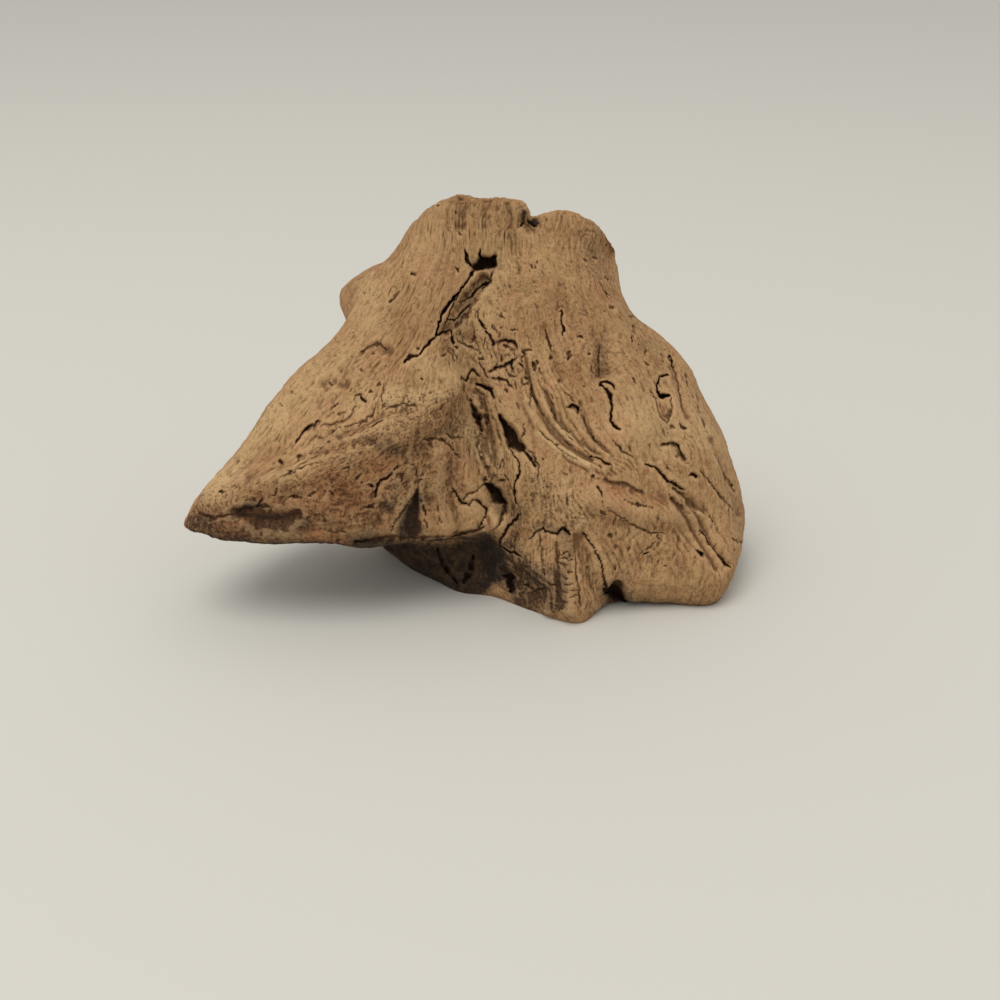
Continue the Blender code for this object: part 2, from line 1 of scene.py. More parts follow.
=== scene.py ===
# %% [markdown]
# # A piece of driftwood
# This is a weathered root stump, about 28 cm long. It stands on a worn foot, one lobe juts out to the
# left in a point, and the front is full of cracks, pits and flowing grain. The wood is one
# natural piece, so it is one mesh: a loft between sections, carved by strokes, then coloured
# by a material that follows the same grain. It could be sculpted by hand, but a script can be
# read, changed in one place and run again.

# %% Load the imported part
import math

import bpy
import numpy as np
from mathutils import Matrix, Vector


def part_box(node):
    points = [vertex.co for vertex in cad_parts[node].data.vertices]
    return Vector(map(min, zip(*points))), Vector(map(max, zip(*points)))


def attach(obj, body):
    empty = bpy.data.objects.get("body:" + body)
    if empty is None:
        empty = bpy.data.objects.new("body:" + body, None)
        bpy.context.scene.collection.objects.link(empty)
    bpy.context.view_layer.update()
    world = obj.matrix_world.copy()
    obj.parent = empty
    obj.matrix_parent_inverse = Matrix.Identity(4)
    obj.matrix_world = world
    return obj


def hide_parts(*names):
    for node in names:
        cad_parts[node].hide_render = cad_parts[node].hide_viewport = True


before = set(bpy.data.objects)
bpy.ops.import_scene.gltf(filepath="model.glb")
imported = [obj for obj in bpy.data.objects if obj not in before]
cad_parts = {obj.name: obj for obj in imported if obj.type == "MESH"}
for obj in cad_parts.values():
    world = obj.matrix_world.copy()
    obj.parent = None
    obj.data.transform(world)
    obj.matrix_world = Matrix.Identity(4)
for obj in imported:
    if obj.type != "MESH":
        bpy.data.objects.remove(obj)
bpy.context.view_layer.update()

# Blender counts in metres and the shapes below in millimetres.
MM = 0.001
# No length is divided by less than this.
SMALLEST = 1e-9

# %% [markdown]
# ## The front drawing
# Everything on the front is placed on a drawing: a sheet square to the line of sight, 0.69 m
# from the eye, ruled in squares of half a millimetre. The camera later stands at the same eye,
# so a mark drawn at a square shows up there. It could be placed by x, y and z instead, but then
# each mark would have to be hunted for. Depths are in millimetres along the ground. The back
# has a drawing too: the same sheet, seen from behind.

# %% The eye and the sheet
# In mm: the eye, its distance from the sheet, and a square of the drawing.
EYE = np.array([16.5, -652.9, 334.8])
LOOK_DOWN = math.radians(24.0)
SHEET_DISTANCE = 694.4
SQUARE = 0.5
# The line of sight meets the drawing at this square, across and down.
DRAWING_MIDDLE = 500
# The back's eye is the same eye turned half round, and moved away by this many mm.
BACK_EYE_SHIFT = 40
FORWARD = np.array([0.0, math.cos(LOOK_DOWN), -math.sin(LOOK_DOWN)])
UPWARD = np.array([0.0, math.sin(LOOK_DOWN), math.cos(LOOK_DOWN)])
SIDEWAYS = np.array([1.0, 0.0, 0.0])


def on_sight_line(across, up, depth):
    """The point in space seen at (across, up) on the sheet, at the given depth."""
    ray = FORWARD + across / SHEET_DISTANCE * SIDEWAYS + up / SHEET_DISTANCE * UPWARD
    return EYE + ray * ((depth - EYE[1]) / ray[1])


def drawing_frame(behind):
    """How the drawing is turned and where its middle is, for the front one or the back one."""
    if behind:
        return np.array([-1.0, -1.0, 1.0]), np.array([0.0, BACK_EYE_SHIFT, 0.0])
    return np.ones(3), np.zeros(3)


def on_drawing(points, behind=False):
    """Where points in space are seen on the drawing, in squares."""
    turn, middle = drawing_frame(behind)
    arm = (points - middle) * turn - EYE
    sheet = np.stack([arm @ SIDEWAYS, -(arm @ UPWARD)], axis=-1) / (arm @ FORWARD)[:, None]
    return sheet * SHEET_DISTANCE / SQUARE + DRAWING_MIDDLE


print("the drawing has", round(1 / SQUARE), "squares to a millimetre, the eye is at", EYE, "mm")

# %% [markdown]
# ## Sections of the stump
# A stump like this was once the flare where root met trunk. Its bulk is a stack of closed
# sections from the crown to the foot. The front half of each is read off the drawing and the
# back half is part of an oval, which is all that a worn back needs before it is carved. The
# bulk could also be sculpted from a block, but a loft gives an even grid, ready to be carved.

# %% The sections
FRONT_STATIONS = 12
BACK_STATIONS = 8
# Each section: stations (across the sheet, up the sheet, depth in space), from the
# left outline to the right one, then how far its back bulges and how far it drops.
SECTIONS = [
    ([(-35, 142, 26), (-34, 147, 20), (-29, 151.5, 16), (-21, 154, 14), (-15, 152.5, 14),
      (-8, 151.5, 14), (0, 151.5, 15), (11, 149.5, 15), (17, 141.5, 18), (34, 145, 20),
      (45, 139.5, 26), (53, 128, 36)], 34, 16),
    ([(-53, 126.5, 25), (-45, 124.5, 10), (-35, 124, 2), (-27, 123, 0), (-19, 122, 2),
      (-10, 122, 6), (0, 122, 8), (11, 122, 9), (22.5, 122, 10), (36, 123, 13),
      (50, 125, 22), (58, 119, 38)], 54, 24),
    ([(-79.5, 89, 4), (-64, 89, -8), (-51, 89, -14), (-38, 89, -16), (-26, 88, -12),
      (-13, 88, -5), (1, 88, -4), (17, 88, -4), (33, 89, -2), (49, 91, 4),
      (61.5, 93.5, 14), (65, 95, 32)], 74, 30),
    ([(-105, 61.5, -12), (-89, 59, -26), (-72, 57, -34), (-54, 56, -36), (-35, 56, -31),
      (-19, 57, -14), (-1, 58, -14), (19, 58, -16), (40, 59.5, -15), (62, 63, -8),
      (81, 68.5, 8), (92.5, 69.5, 30)], 86, 30),
    ([(-131, 25.5, -28), (-109, 22, -45), (-84, 23, -56), (-58, 27, -53), (-33, 32, -38),
      (-11, 30, -20), (7.5, 30, -24), (28, 30, -28), (51, 32, -27), (76, 36, -18),
      (97, 43, -2), (108, 40, 26)], 94, 24),
    ([(-153.5, -5, -41), (-132, 0, -56), (-101, 4, -60), (-69, 5, -57), (-36, 6, -42),
      (-6, 7, -32), (11, 7, -36), (31, 5, -40), (57, 6, -38), (85, 12, -27),
      (108, 19, -6), (120, 7.5, 24)], 98, 12),
    ([(-150.5, -13, -40), (-131, -21, -50), (-97, -22.5, -54), (-66, -23, -50),
      (-34, -18, -40), (-1, -15, -32), (12.5, -16, -39), (31, -20, -46),
      (58, -18, -42), (88, -12, -30), (112, -6, -10), (122, -10, 20)], 98, 8),
]
CROWN_POLE = (5, 133, 46)

# Below the overhang the sections are given in space: (x, y, z), and the same two back values.
UNDERCUT = ([(-80, 10, 45), (-68, -2, 42), (-52, -6, 37), (-34, -8, 32), (-14, -12, 28),
             (7, -17, 23), (24, -36, 20), (48, -52, 18), (70, -44, 18), (98, -39, 18),
             (129, -33, 16), (140, 2, 18)], 88, 12)
FOOT = ([(-45, 38, -1), (-37, 23, -2), (-28, 9, -2), (-14, -7, -1), (-3, -18, -1),
         (14, -23, 0), (32, -36, -1), (56, -49, -2), (71, -31, 1), (96, -28, -1),
         (123, -28, -2), (133, 4, -1)], 77, 0)
SOLE_CENTRE = (48, 28)
SOLE_SHRINK = 0.72
SOLE_RISE = 7


def closed_section(front, bulge, drop):
    """A section's front stations, joined round the back by half an oval."""
    turns = np.pi * np.arange(1, BACK_STATIONS + 1) / (BACK_STATIONS + 1)
    share = (1 - np.cos(turns)) / 2
    chord = front[-1] * (1 - share[:, None]) + front[0] * share[:, None]
    swell = np.sin(turns)[:, None] * np.array([0.0, bulge, -drop])
    return np.vstack([front, chord + swell])


def control_net():
    """All sections from the crown pole to the middle of the sole."""
    rows = [closed_section(np.array([on_sight_line(*s) for s in stations]), bulge, drop)
            for stations, bulge, drop in SECTIONS]
    rows += [closed_section(np.array(stations, float), bulge, drop)
             for stations, bulge, drop in (UNDERCUT, FOOT)]
    middle = np.array([*SOLE_CENTRE, 0.0])
    sole = middle + (rows[-1] - middle) * SOLE_SHRINK
    sole[:, 2] = SOLE_RISE
    count = len(sole)
    rows.append(sole)
    rows.append(np.tile(middle + (0, 0, SOLE_RISE), (count, 1)))
    rows.insert(0, np.tile(on_sight_line(*CROWN_POLE), (count, 1)))
    return np.array(rows)


print("control net:", control_net().shape[0], "rows of", control_net().shape[1], "stations")

# %% [markdown]
# ## Strokes
# Wind and water took the soft wood away along lines, so the relief is drawn as strokes, each a
# path with a width and a depth. Noise could roughen the surface too, but it can't put a valley
# where the real one is. The first strokes are the soft ones: valleys, ribs and hollows.

# %% Soft forms on the front
# Strokes on the front drawing, in its squares of half a millimetre, counted from its upper
# left corner. Each has a half width and a depth in mm; a negative depth raises the wood. A
# third value at a point of the path is the share of the half width there.
FRONT_FORMS = {
    "central_valley": (12, 4.5, [(462, 350), (474, 392), (484, 430), (490, 470), (500, 514)]),
    "valley_core": (6, 1.8, [(474, 384), (482, 430), (491, 480), (503, 512)]),
    "lobe_brow": (13, -3, [(222, 500), (270, 478), (330, 456), (390, 434), (430, 412), (454, 386)]),
    "brow_end": (9, -3, [(440, 400), (458, 372), (462, 352)]),
    "beak_hollow": (8, 3.5, [(236, 513, 0.6), (256, 520, 1), (280, 523, 1), (296, 516, 0.5)]),
    "lobe_face_hollow": (12, 2.5, [(345, 500), (380, 520)]),
    "lobe_flank_rib": (7, -2.5, [(440, 452), (438, 490), (446, 525)]),
    "lobe_plane_hollow": (14, 2, [(330, 400), (372, 372), (400, 330)]),
    "valley_bump": (4.5, -3, [(496, 513), (497, 524)]),
    "bulge_rib": (5, -2.5, [(566, 538), (567, 570), (570, 608)]),
    "bulge_left_groove": (2.6, 1.1, [(556, 545), (557, 570), (558, 598)]),
    "bulge_left_hollow": (11, 4.5, [(516, 580), (534, 596)]),
    "bulge_right_hollow": (7, 2.5, [(580, 540), (590, 575), (604, 596)]),
    "base_notch": (5, 6, [(618, 588), (615, 606)]),
    "skirt_flow_a": (3.4, 1.6, [(524, 352, 0.5), (530, 382, 0.8), (538, 408, 1), (552, 430, 1),
                              (572, 450, 0.9), (592, 460, 0.5)]),
    "skirt_flow_b": (3.2, 1.4, [(546, 392, 0.5), (552, 408, 0.9), (562, 424, 1), (576, 440, 1),
                                (602, 458, 0.6)]),
    "skirt_flow_c": (2.8, 1.1, [(580, 402, 0.5), (584, 416, 1), (590, 432, 1), (602, 448, 0.8),
                                (612, 456, 0.4)]),
    "skirt_ridge_a": (2.8, -1.5, [(526, 402), (538, 424), (558, 447), (582, 463), (604, 471)]),
    "skirt_ridge_b": (2.4, -1.2, [(542, 400), (553, 420), (568, 438), (590, 454)]),
    "skirt_ridge_c": (2.6, -1.1, [(572, 412), (580, 430), (594, 446), (608, 455)]),
    "valley_rib": (3, -2.2, [(488, 402), (494, 430), (500, 462)]),
    "slit_left_hollow": (6, 1.6, [(607, 342), (602, 356), (603, 370)]),
    "lens_pocket": (5, 1.8, [(661, 384), (663, 400), (666, 414)]),
    "crown_cup": (7, 4, [(528, 222), (530, 224)]),
    "crown_groove_left": (4.5, 2.2, [(464, 190), (461, 226)]),
    "crown_groove_mid": (4, 1.5, [(488, 192), (486, 226)]),
    "crown_groove_right": (4.5, 1.2, [(507, 203, 0.6), (513, 236, 1), (519, 272, 0.5)]),
    "crest_groove": (6, 1.1, [(560, 222), (565, 266), (560, 306)]),
    "crest_fold": (4, 1.4, [(545, 328), (552, 352), (560, 378)]),
    "lobe_fold_high": (4, 1.6, [(340, 370), (358, 354), (372, 344), (386, 346)]),
    "lobe_fold_mid": (4.5, 1.8, [(322, 382), (330, 378), (342, 380)]),
    "lobe_ledge": (4, 1.3, [(340, 436), (366, 424), (390, 412), (414, 408)]),
    "lobe_fold_low": (4, 1.5, [(250, 478), (284, 466), (322, 452), (372, 440)]),
    "crown_right_hollow": (11, 3, [(600, 256), (616, 288)]),
    "shoulder_dent": (9, 2.5, [(600, 336), (602, 372)]),
    "shoulder_swell": (16, -3, [(630, 380), (640, 430)]),
    "skirt_step": (9, -2.5, [(590, 498), (640, 512), (690, 516)]),
    "skirt_foot_hollow": (10, 2, [(645, 560), (680, 568)]),
    "corner_groove_a": (2.6, 2.4, [(690, 504), (714, 545), (727, 564)]),
    "corner_groove_b": (2.6, 2, [(674, 500), (699, 538), (716, 568)]),
    "shelf_groove": (3.5, 1.6, [(674, 486), (688, 496), (704, 510)]),
    "right_edge_groove": (3, 1.4, [(712, 440), (725, 470), (738, 514)]),
    "right_band_groove": (3, 1.3, [(674, 366), (680, 390), (688, 416)]),
}
print("soft forms:", len(FRONT_FORMS))

# %% [markdown]
# ## Cracks and holes
# The wood split where it dried and shrank, and rot and worms left holes. Cracks have steep
# sides and a level floor. Booleans could cut them, but they are slow and fragile on a surface
# as fine as this one, so cracks are strokes too, with a steeper profile.

# %% Cracks and holes on the front
FRONT_CUTS = {
    "cleft_hole": (4.2, 12, [(476, 268, 0.6), (483, 262, 1), (491, 262, 0.9), (494, 258, 0.5)]),
    "cleft_hole_peak": (2.6, 9, [(482, 262, 1), (480, 256, 0.8), (479, 250, 0.4)]),
    "cleft_floor": (5.4, 4.5, [(484, 279, 0.8), (475, 292, 0.95), (463, 309, 1), (449, 328, 0.9)]),
    "cleft_wall": (1.4, 8, [(473, 271, 0.9), (463, 286, 0.8), (451, 302, 1), (441, 317, 0.8),
                            (437, 333, 0.7)]),
    "cleft_end": (1.6, 6, [(437, 334, 0.8), (445, 331, 0.9), (452, 331, 0.6), (457, 343, 1)]),
    "cleft_tail": (1.6, 5, [(437, 336, 0.5), (430, 343, 1), (421, 352, 0.7)]),
    "cleft_tail_pits": (2.4, 4, [(418, 354, 0.7), (411, 356, 1), (406, 361, 0.6)]),
    "teardrop": (2.2, 5, [(464, 249, 0.2), (466, 257, 0.8), (470, 264, 1), (473, 269, 0.4)]),
    "upper_chip": (1.6, 3.5, [(479, 321, 0.8), (483, 326, 1), (487, 329, 0.4)]),
    "chip_a": (1.6, 4, [(486, 331, 0.5), (492, 337, 0.8), (494, 344, 1)]),
    "hanging_slit": (1.6, 3.5, [(561, 311, 0.6), (562, 319, 0.5), (563, 328, 0.9), (563, 335, 0.3)]),
    "zigzag": (1.5, 3, [(457, 379, 0.9), (461, 376, 1), (466, 381, 0.7), (470, 376, 0.7),
                        (473, 370, 0.9), (479, 377, 0.5)]),
    "valley_recess": (3, 5, [(477, 384, 0.5), (484, 388, 1), (490, 391, 0.9), (492, 398, 0.5)]),
    "valley_crack": (2.6, 6, [(471, 401, 0.3), (476, 411, 0.7), (479, 422, 1), (482, 431, 0.4)]),
    "valley_hole": (4.6, 10, [(500, 415, 0.3), (504, 421, 0.6), (509, 432, 0.9), (514, 443, 1),
                              (520, 448, 0.6)]),
    "valley_hole_tail": (1.8, 4, [(520, 448, 1), (529, 456, 0.7), (536, 466, 0.8)]),
    "valley_low_hole": (3.2, 8, [(488, 486, 0.5), (493, 494, 0.9), (498, 503, 1), (503, 509, 0.4)]),
    "valley_thread": (1.4, 3.5, [(508, 447, 0.4), (514, 456, 0.6), (520, 463, 0.8), (519, 473, 0.9),
                                 (514, 484, 0.8), (513, 496, 1), (515, 504, 0.6)]),
    "long_slit": (2.3, 7, [(601, 384, 0.5), (605, 391, 0.9), (609, 400, 1), (611, 409, 0.6),
                         (611, 418, 0.6), (613, 425, 1), (620, 429, 0.4)]),
    "long_slit_arc": (1.4, 3.5, [(600, 386, 0.8), (603, 382, 1), (608, 384, 0.9), (613, 390, 0.4)]),
    "square_hole": (2.8, 8, [(658, 391, 0.7), (663, 395, 1), (668, 395, 0.8)]),
    "square_hole_side": (1.7, 5, [(668, 374, 0.4), (659, 378, 0.8), (657, 385, 1), (658, 391, 0.9)]),
    "high_hole": (2, 5, [(669, 357, 0.8), (673, 361, 1), (675, 366, 0.3)]),
    "round_pit": (2.3, 5, [(692, 475, 0.9), (696, 476, 1)]),
    "shelf_crack": (2.2, 4.5, [(646, 464, 0.4), (655, 465, 0.5), (661, 472, 0.8), (668, 480, 1),
                               (676, 484, 0.8), (686, 491, 0.3)]),
    "flow_end_pit": (1.7, 4, [(589, 456, 0.3), (600, 459, 0.6), (606, 463, 1), (609, 465, 0.7)]),
    "short_slit": (1.5, 3, [(596, 486, 0.5), (600, 492, 1), (601, 496, 0.4)]),
    "lobe_pit": (2, 3.5, [(360, 396, 0.8), (364, 399, 1)]),
    "face_notch": (6.5, 4.5, [(417, 490, 0.1), (413, 508, 0.65), (412, 528, 1)]),
    "face_crack": (1.6, 3, [(398, 467, 0.4), (391, 474, 0.7), (381, 481, 1), (377, 489, 0.9),
                            (376, 498, 0.5)]),
    "flank_fork": (1.3, 3, [(452, 487, 0.4), (458, 496, 0.7), (463, 503, 1), (470, 505, 0.6),
                            (476, 499, 0.7), (481, 504, 0.9), (488, 512, 1), (486, 518, 0.7),
                            (480, 526, 0.8)]),
    "bulge_crack": (1.4, 3, [(528, 540, 0.3), (537, 531, 0.6), (543, 528, 0.8), (549, 533, 0.8),
                             (557, 534, 1), (563, 528, 0.8), (570, 534, 0.5)]),
    "bulge_hole": (3, 6, [(504, 577, 0.7), (508, 584, 1), (511, 592, 0.6)]),
    "bulge_side_crack": (1.2, 3, [(584, 533, 0.5), (592, 545, 0.7), (599, 558, 0.8), (602, 573, 0.7),
                                  (606, 587, 1)]),
    "cross_crack": (1.4, 3.5, [(499, 544, 0.7), (506, 551, 1), (514, 554, 0.9), (522, 557, 0.4)]),
    "cross_crack_high": (1.8, 3, [(520, 514, 0.5), (511, 524, 0.8), (504, 534, 1), (499, 543, 0.8)]),
    "base_notch_hole": (4, 8, [(608, 592, 0.8), (616, 597, 1), (624, 602, 0.9), (630, 605, 0.5)]),
    "low_pit_left": (1.6, 3, [(646, 553, 0.8), (649, 552, 1)]),
    "low_pit_right": (1.8, 4, [(698, 551, 0.8), (702, 555, 1)]),
    "corner_cut": (1.3, 3, [(700, 529, 0.3), (711, 544, 0.7), (721, 557, 1), (730, 568, 0.9)]),
    "crown_cup_high": (1.6, 3, [(531, 217, 0.7), (535, 222, 1), (537, 225, 0.5)]),
    "crown_cup_low": (1.4, 3, [(518, 226, 0.8), (522, 227, 1), (527, 223, 0.4)]),
}
print("cracks and holes:", len(FRONT_CUTS))

# %% [markdown]
# ## Lips
# A chip or a split edge drops at once on one side and rises slowly on the other. A groove with
# two equal sides would look as if a tool had made it, so lips have a profile of their own.

# %% Lips on the front
# They drop on the left hand of someone who walks the path, and rise slowly on the right.
FRONT_LIPS = {
    "chip_b": (3.4, 3, [(499, 341, 0.8), (508, 340, 1), (514, 342, 1), (516, 347, 0.7)]),
    "chip_c": (3, 3, [(490, 370, 0.7), (498, 367, 1), (504, 366, 0.8), (511, 361, 1), (513, 371, 0.5)]),
    "chip_d": (2.2, 2.2, [(492, 377, 0.8), (500, 379, 1), (507, 379, 1), (512, 388, 0.5)]),
    "corner_pit": (3.2, 4, [(568, 406, 0.5), (573, 405, 1), (578, 408, 1), (578, 412, 0.5)]),
    "arc_pit": (4.6, 3.5, [(664, 443, 0.5), (673, 442, 0.8), (679, 447, 1), (682, 453, 1),
                           (686, 459, 0.5)]),
    "lobe_slit": (2.8, 3, [(293, 441, 0.5), (299, 432, 0.9), (307, 425, 1), (317, 419, 0.5)]),
    "lip_crack": (5, 2.2, [(604, 479, 0.5), (614, 483, 1), (626, 485, 1), (633, 488, 0.9),
                           (642, 491, 0.5)]),
    "lobe_curve": (3, 1.5, [(320, 424, 0.5), (340, 420, 1), (350, 415, 1), (354, 405, 0.6)]),
    "square_pocket": (2.6, 1.4, [(671, 398, 0.8), (672, 412, 1), (668, 423, 0.8), (660, 417, 1),
                                 (655, 405, 1), (650, 392, 0.5)]),
}
print("lips:", len(FRONT_LIPS))

# %% [markdown]
# ## The back
# The back is as weathered as the front but plainer: a broad ridge, hollows, long grooves, a
# few cracks and holes, and root ribs at the foot. Mirroring the front would be quicker, but
# the same cracks on both sides would give it away.

# %% Strokes on the back drawing
# This is the same sheet seen from behind, with its own squares.
BACK_FORMS = {
    "back_ridge": (22, -6, [(432, 260), (440, 330), (450, 460), (440, 580)]),
    "back_hollow_beak": (26, 7, [(560, 330), (620, 430), (690, 480)]),
    "back_hollow_side": (20, 6, [(360, 330), (350, 440), (340, 540)]),
    "back_root_stub": (13, -7, [(520, 470), (545, 520)]),
    "back_low_hollow": (16, 5, [(480, 540), (560, 570)]),
    "back_groove_a": (4, 2.5, [(470, 240), (490, 340), (530, 440), (600, 510)]),
    "back_groove_b": (3.5, 2, [(410, 260), (404, 380), (390, 500)]),
    "back_groove_c": (3.5, 2, [(500, 250), (560, 340), (640, 420), (740, 480)]),
    "back_foot_rib_a": (7, -3, [(544, 490), (536, 550), (530, 596)]),
    "back_foot_rib_b": (9, -3.5, [(462, 480), (470, 560), (464, 612)]),
    "back_foot_rib_c": (8, -3, [(352, 490), (366, 556), (360, 612)]),
    "back_foot_rib_d": (7, -3, [(278, 490), (264, 550), (270, 594)]),
    "back_foot_groove_a": (5, 3.5, [(512, 516), (500, 566), (506, 610)]),
    "back_foot_groove_b": (6, 4, [(408, 500), (422, 566), (414, 620)]),
    "back_foot_groove_c": (6, 4, [(310, 500), (318, 556), (308, 604)]),
}
BACK_CUTS = {
    "back_crack_long": (2.4, 6, [(446, 300), (462, 350), (468, 400), (492, 450)]),
    "back_crack_side": (2, 5, [(380, 360), (376, 400), (384, 440)]),
    "back_crack_beak": (1.8, 4, [(600, 400), (640, 424), (690, 446)]),
    "back_hole_high": (3.2, 8, [(500, 330), (506, 344)]),
    "back_hole_low": (3.6, 8, [(420, 500), (430, 512)]),
}
DRAWINGS = ((False, FRONT_FORMS, FRONT_CUTS, FRONT_LIPS), (True, BACK_FORMS, BACK_CUTS, {}))
print("strokes on the back:", len(BACK_FORMS) + len(BACK_CUTS))

# %% [markdown]
# ## Knob and weathering
# A burl swells out behind the left outline. Broad soft lumps keep any face from being flat,
# and ribs follow the grain. A Displace modifier could add such noise, but the stains and the
# edges of the cracks need the same noise as numbers, so it is worked out here.

# %% The knob and the noise
# A rounded knob that stands out behind the left outline: middle, radius and push, in space.
KNOB_MIDDLE = (-50, 34, 143)
KNOB_RADIUS = 26
KNOB_PUSH = (-15, 5, 2)

# Weathering: soft lumps, and ribs that run with the grain.
LUMP_SIZE = 34
LUMP_HEIGHT = 1.6
SMALL_LUMP_SIZE = 12
SMALL_LUMP_HEIGHT = 0.7
RIB_WIDTH = 7
RIB_STRETCH = 9
RIB_HEIGHT = 0.5
EDGE_WANDER = 0.7
EDGE_WANDER_SIZE = 4
NOISE_SEED = 11
NOISE_CELLS = 64


def lattice_noise(points, number):
    """Smooth noise from -1 to 1 on a lattice of unit cells. Each number gives another pattern."""
    values = np.random.RandomState(NOISE_SEED + number).uniform(-1, 1, (NOISE_CELLS,) * 3)
    cell = np.floor(points).astype(int)
    part = points - cell
    part = part * part * (3 - 2 * part)
    total = np.zeros(len(points))
    for corner in np.ndindex(2, 2, 2):
        index = tuple(((cell + corner) % NOISE_CELLS).T)
        weight = np.where(corner, part, 1 - part).prod(axis=1)
        total += values[index] * weight
    return total


def noise_pair(places, number):
    """Two noises side by side, to shift places on a drawing or on the drum of fibres."""
    return np.stack([lattice_noise(places, number), lattice_noise(places, number + 1)], axis=1)


def fibre_noise(grain, width, stretch, number):
    """Noise that is `width` mm across the fibres and `stretch` times as long."""
    return lattice_noise(grain / width * (1, 1, 1 / stretch), number)


def uneven(points, size, number, middle, swing):
    """A share that wanders about `middle` by `swing` at most, in patches of `size` mm."""
    return middle + swing * lattice_noise(points / size, number)


print("the knob swells by", round(math.hypot(*KNOB_PUSH)), "mm, the lumps by", LUMP_HEIGHT, "mm")

# %% [markdown]
# ## The depth of a stroke
# A stroke is as deep as its profile says at that distance from its path, and it fades where
# the surface turns away from the eye of its drawing. A brush in sculpt mode does much the same
# by hand, but a formula gives the same groove every time.

# %% Profiles and the depth of strokes
# How thin the ends of a cut are, how much of it is level floor, how fast a lip drops, how its
# slope bends, and how squarely the wood must face the eye to be carved in full.
END_SHARE = 0.4
CUT_FLOOR = 0.35
LIP_DROP = 0.3
LIP_EASE = 1.5
FULL_FACING = 0.25


def smooth_step(low, high, value):
    """Eased rise from 0 at `low` to 1 at `high`."""
    share = np.clip((value - low) / (high - low), 0, 1)
    return share * share * (3 - 2 * share)


def stroke_path(path, thinning):
    """A path as rows of x, y and share of the half width; one without shares may thin to its ends."""
    path = np.array(path, float)
    if path.shape[1] == 3:
        return path
    if thinning and len(path) == 2:
        path = np.insert(path, 1, path.mean(axis=0), axis=0)
    shares = np.ones(len(path))
    if thinning:
        shares[[0, -1]] = END_SHARE
    return np.column_stack([path, shares])


def distance_to_path(points, path):
    """Distance from each point to a path in half widths, below zero on the left of the walk."""
    nearest = np.full(len(points), np.inf)
    for start, end in zip(path[:-1], path[1:]):
        piece = end - start
        step = piece[:2]
        share = np.clip((points - start[:2]) @ step / max(step @ step, SMALLEST), 0, 1)
        gap = points - start[:2] - share[:, None] * step
        away = np.hypot(gap[:, 0], gap[:, 1]) / (start[2] + share * piece[2])
        side = np.where(step[0] * gap[:, 1] < step[1] * gap[:, 0], -1.0, 1.0)
        nearest = np.where(away < np.abs(nearest), away * side, nearest)
    return nearest


def soft(away):
    """A rounded trough or rib."""
    return np.clip(1 - away**2, 0, 1)**2


def cut(away):
    """Steep sides and a level floor."""
    return 1 - smooth_step(CUT_FLOOR, 1, np.abs(away))


def lip(away):
    """A drop on the left and a slow rise on the right."""
    return np.where(away < 0, 1 - smooth_step(0, LIP_DROP, -away), np.clip(1 - away, 0, 1)**LIP_EASE)


def stroke_depth(seen, facing, strokes, profile):
    """Depth of a set of strokes at every point. Soft ones add up; of the others the deepest counts."""
    depth = np.zeros(len(seen))
    for half_width, full_depth, path in strokes.values():
        path = stroke_path(path, thinning=profile is not soft)
        reach = half_width / SQUARE
        low, high = path[:, :2].min(axis=0) - reach, path[:, :2].max(axis=0) + reach
        near = np.nonzero(np.all((seen > low) & (seen < high), axis=1) & (facing > 0))[0]
        shape = profile(distance_to_path(seen[near], path) / reach)
        share = shape * np.minimum(1, facing[near] / FULL_FACING) * full_depth
        depth[near] = depth[near] + share if profile is soft else np.maximum(depth[near], share)
    return depth


def to_eye(points, normals, behind=False):
    """The direction from each point to the drawing's eye, and how squarely the wood faces it."""
    turn, middle = drawing_frame(behind)
    arm = EYE * turn + middle - points
    eyeward = arm / np.linalg.norm(arm, axis=1, keepdims=True)
    return eyeward, (eyeward * normals).sum(axis=1)


print("a cut is level over", CUT_FLOOR, "of its half width")

# %% [markdown]
# ## Thin cracks
# Hair cracks and small pits are too fine for the solid. They are drawn in the same squares and
# only the fine mesh has them. Dark lines in the colour would be quicker, but a real slit is
# dark because it is deep, and it looks so from every side.

# %% Thin cracks from the cleft to the crest
def numbered(places):
    """Strokes that are listed by place, each with a name of its own."""
    return {f"{place}_{k}": stroke for place, strokes in places.items() for k, stroke in enumerate(strokes)}


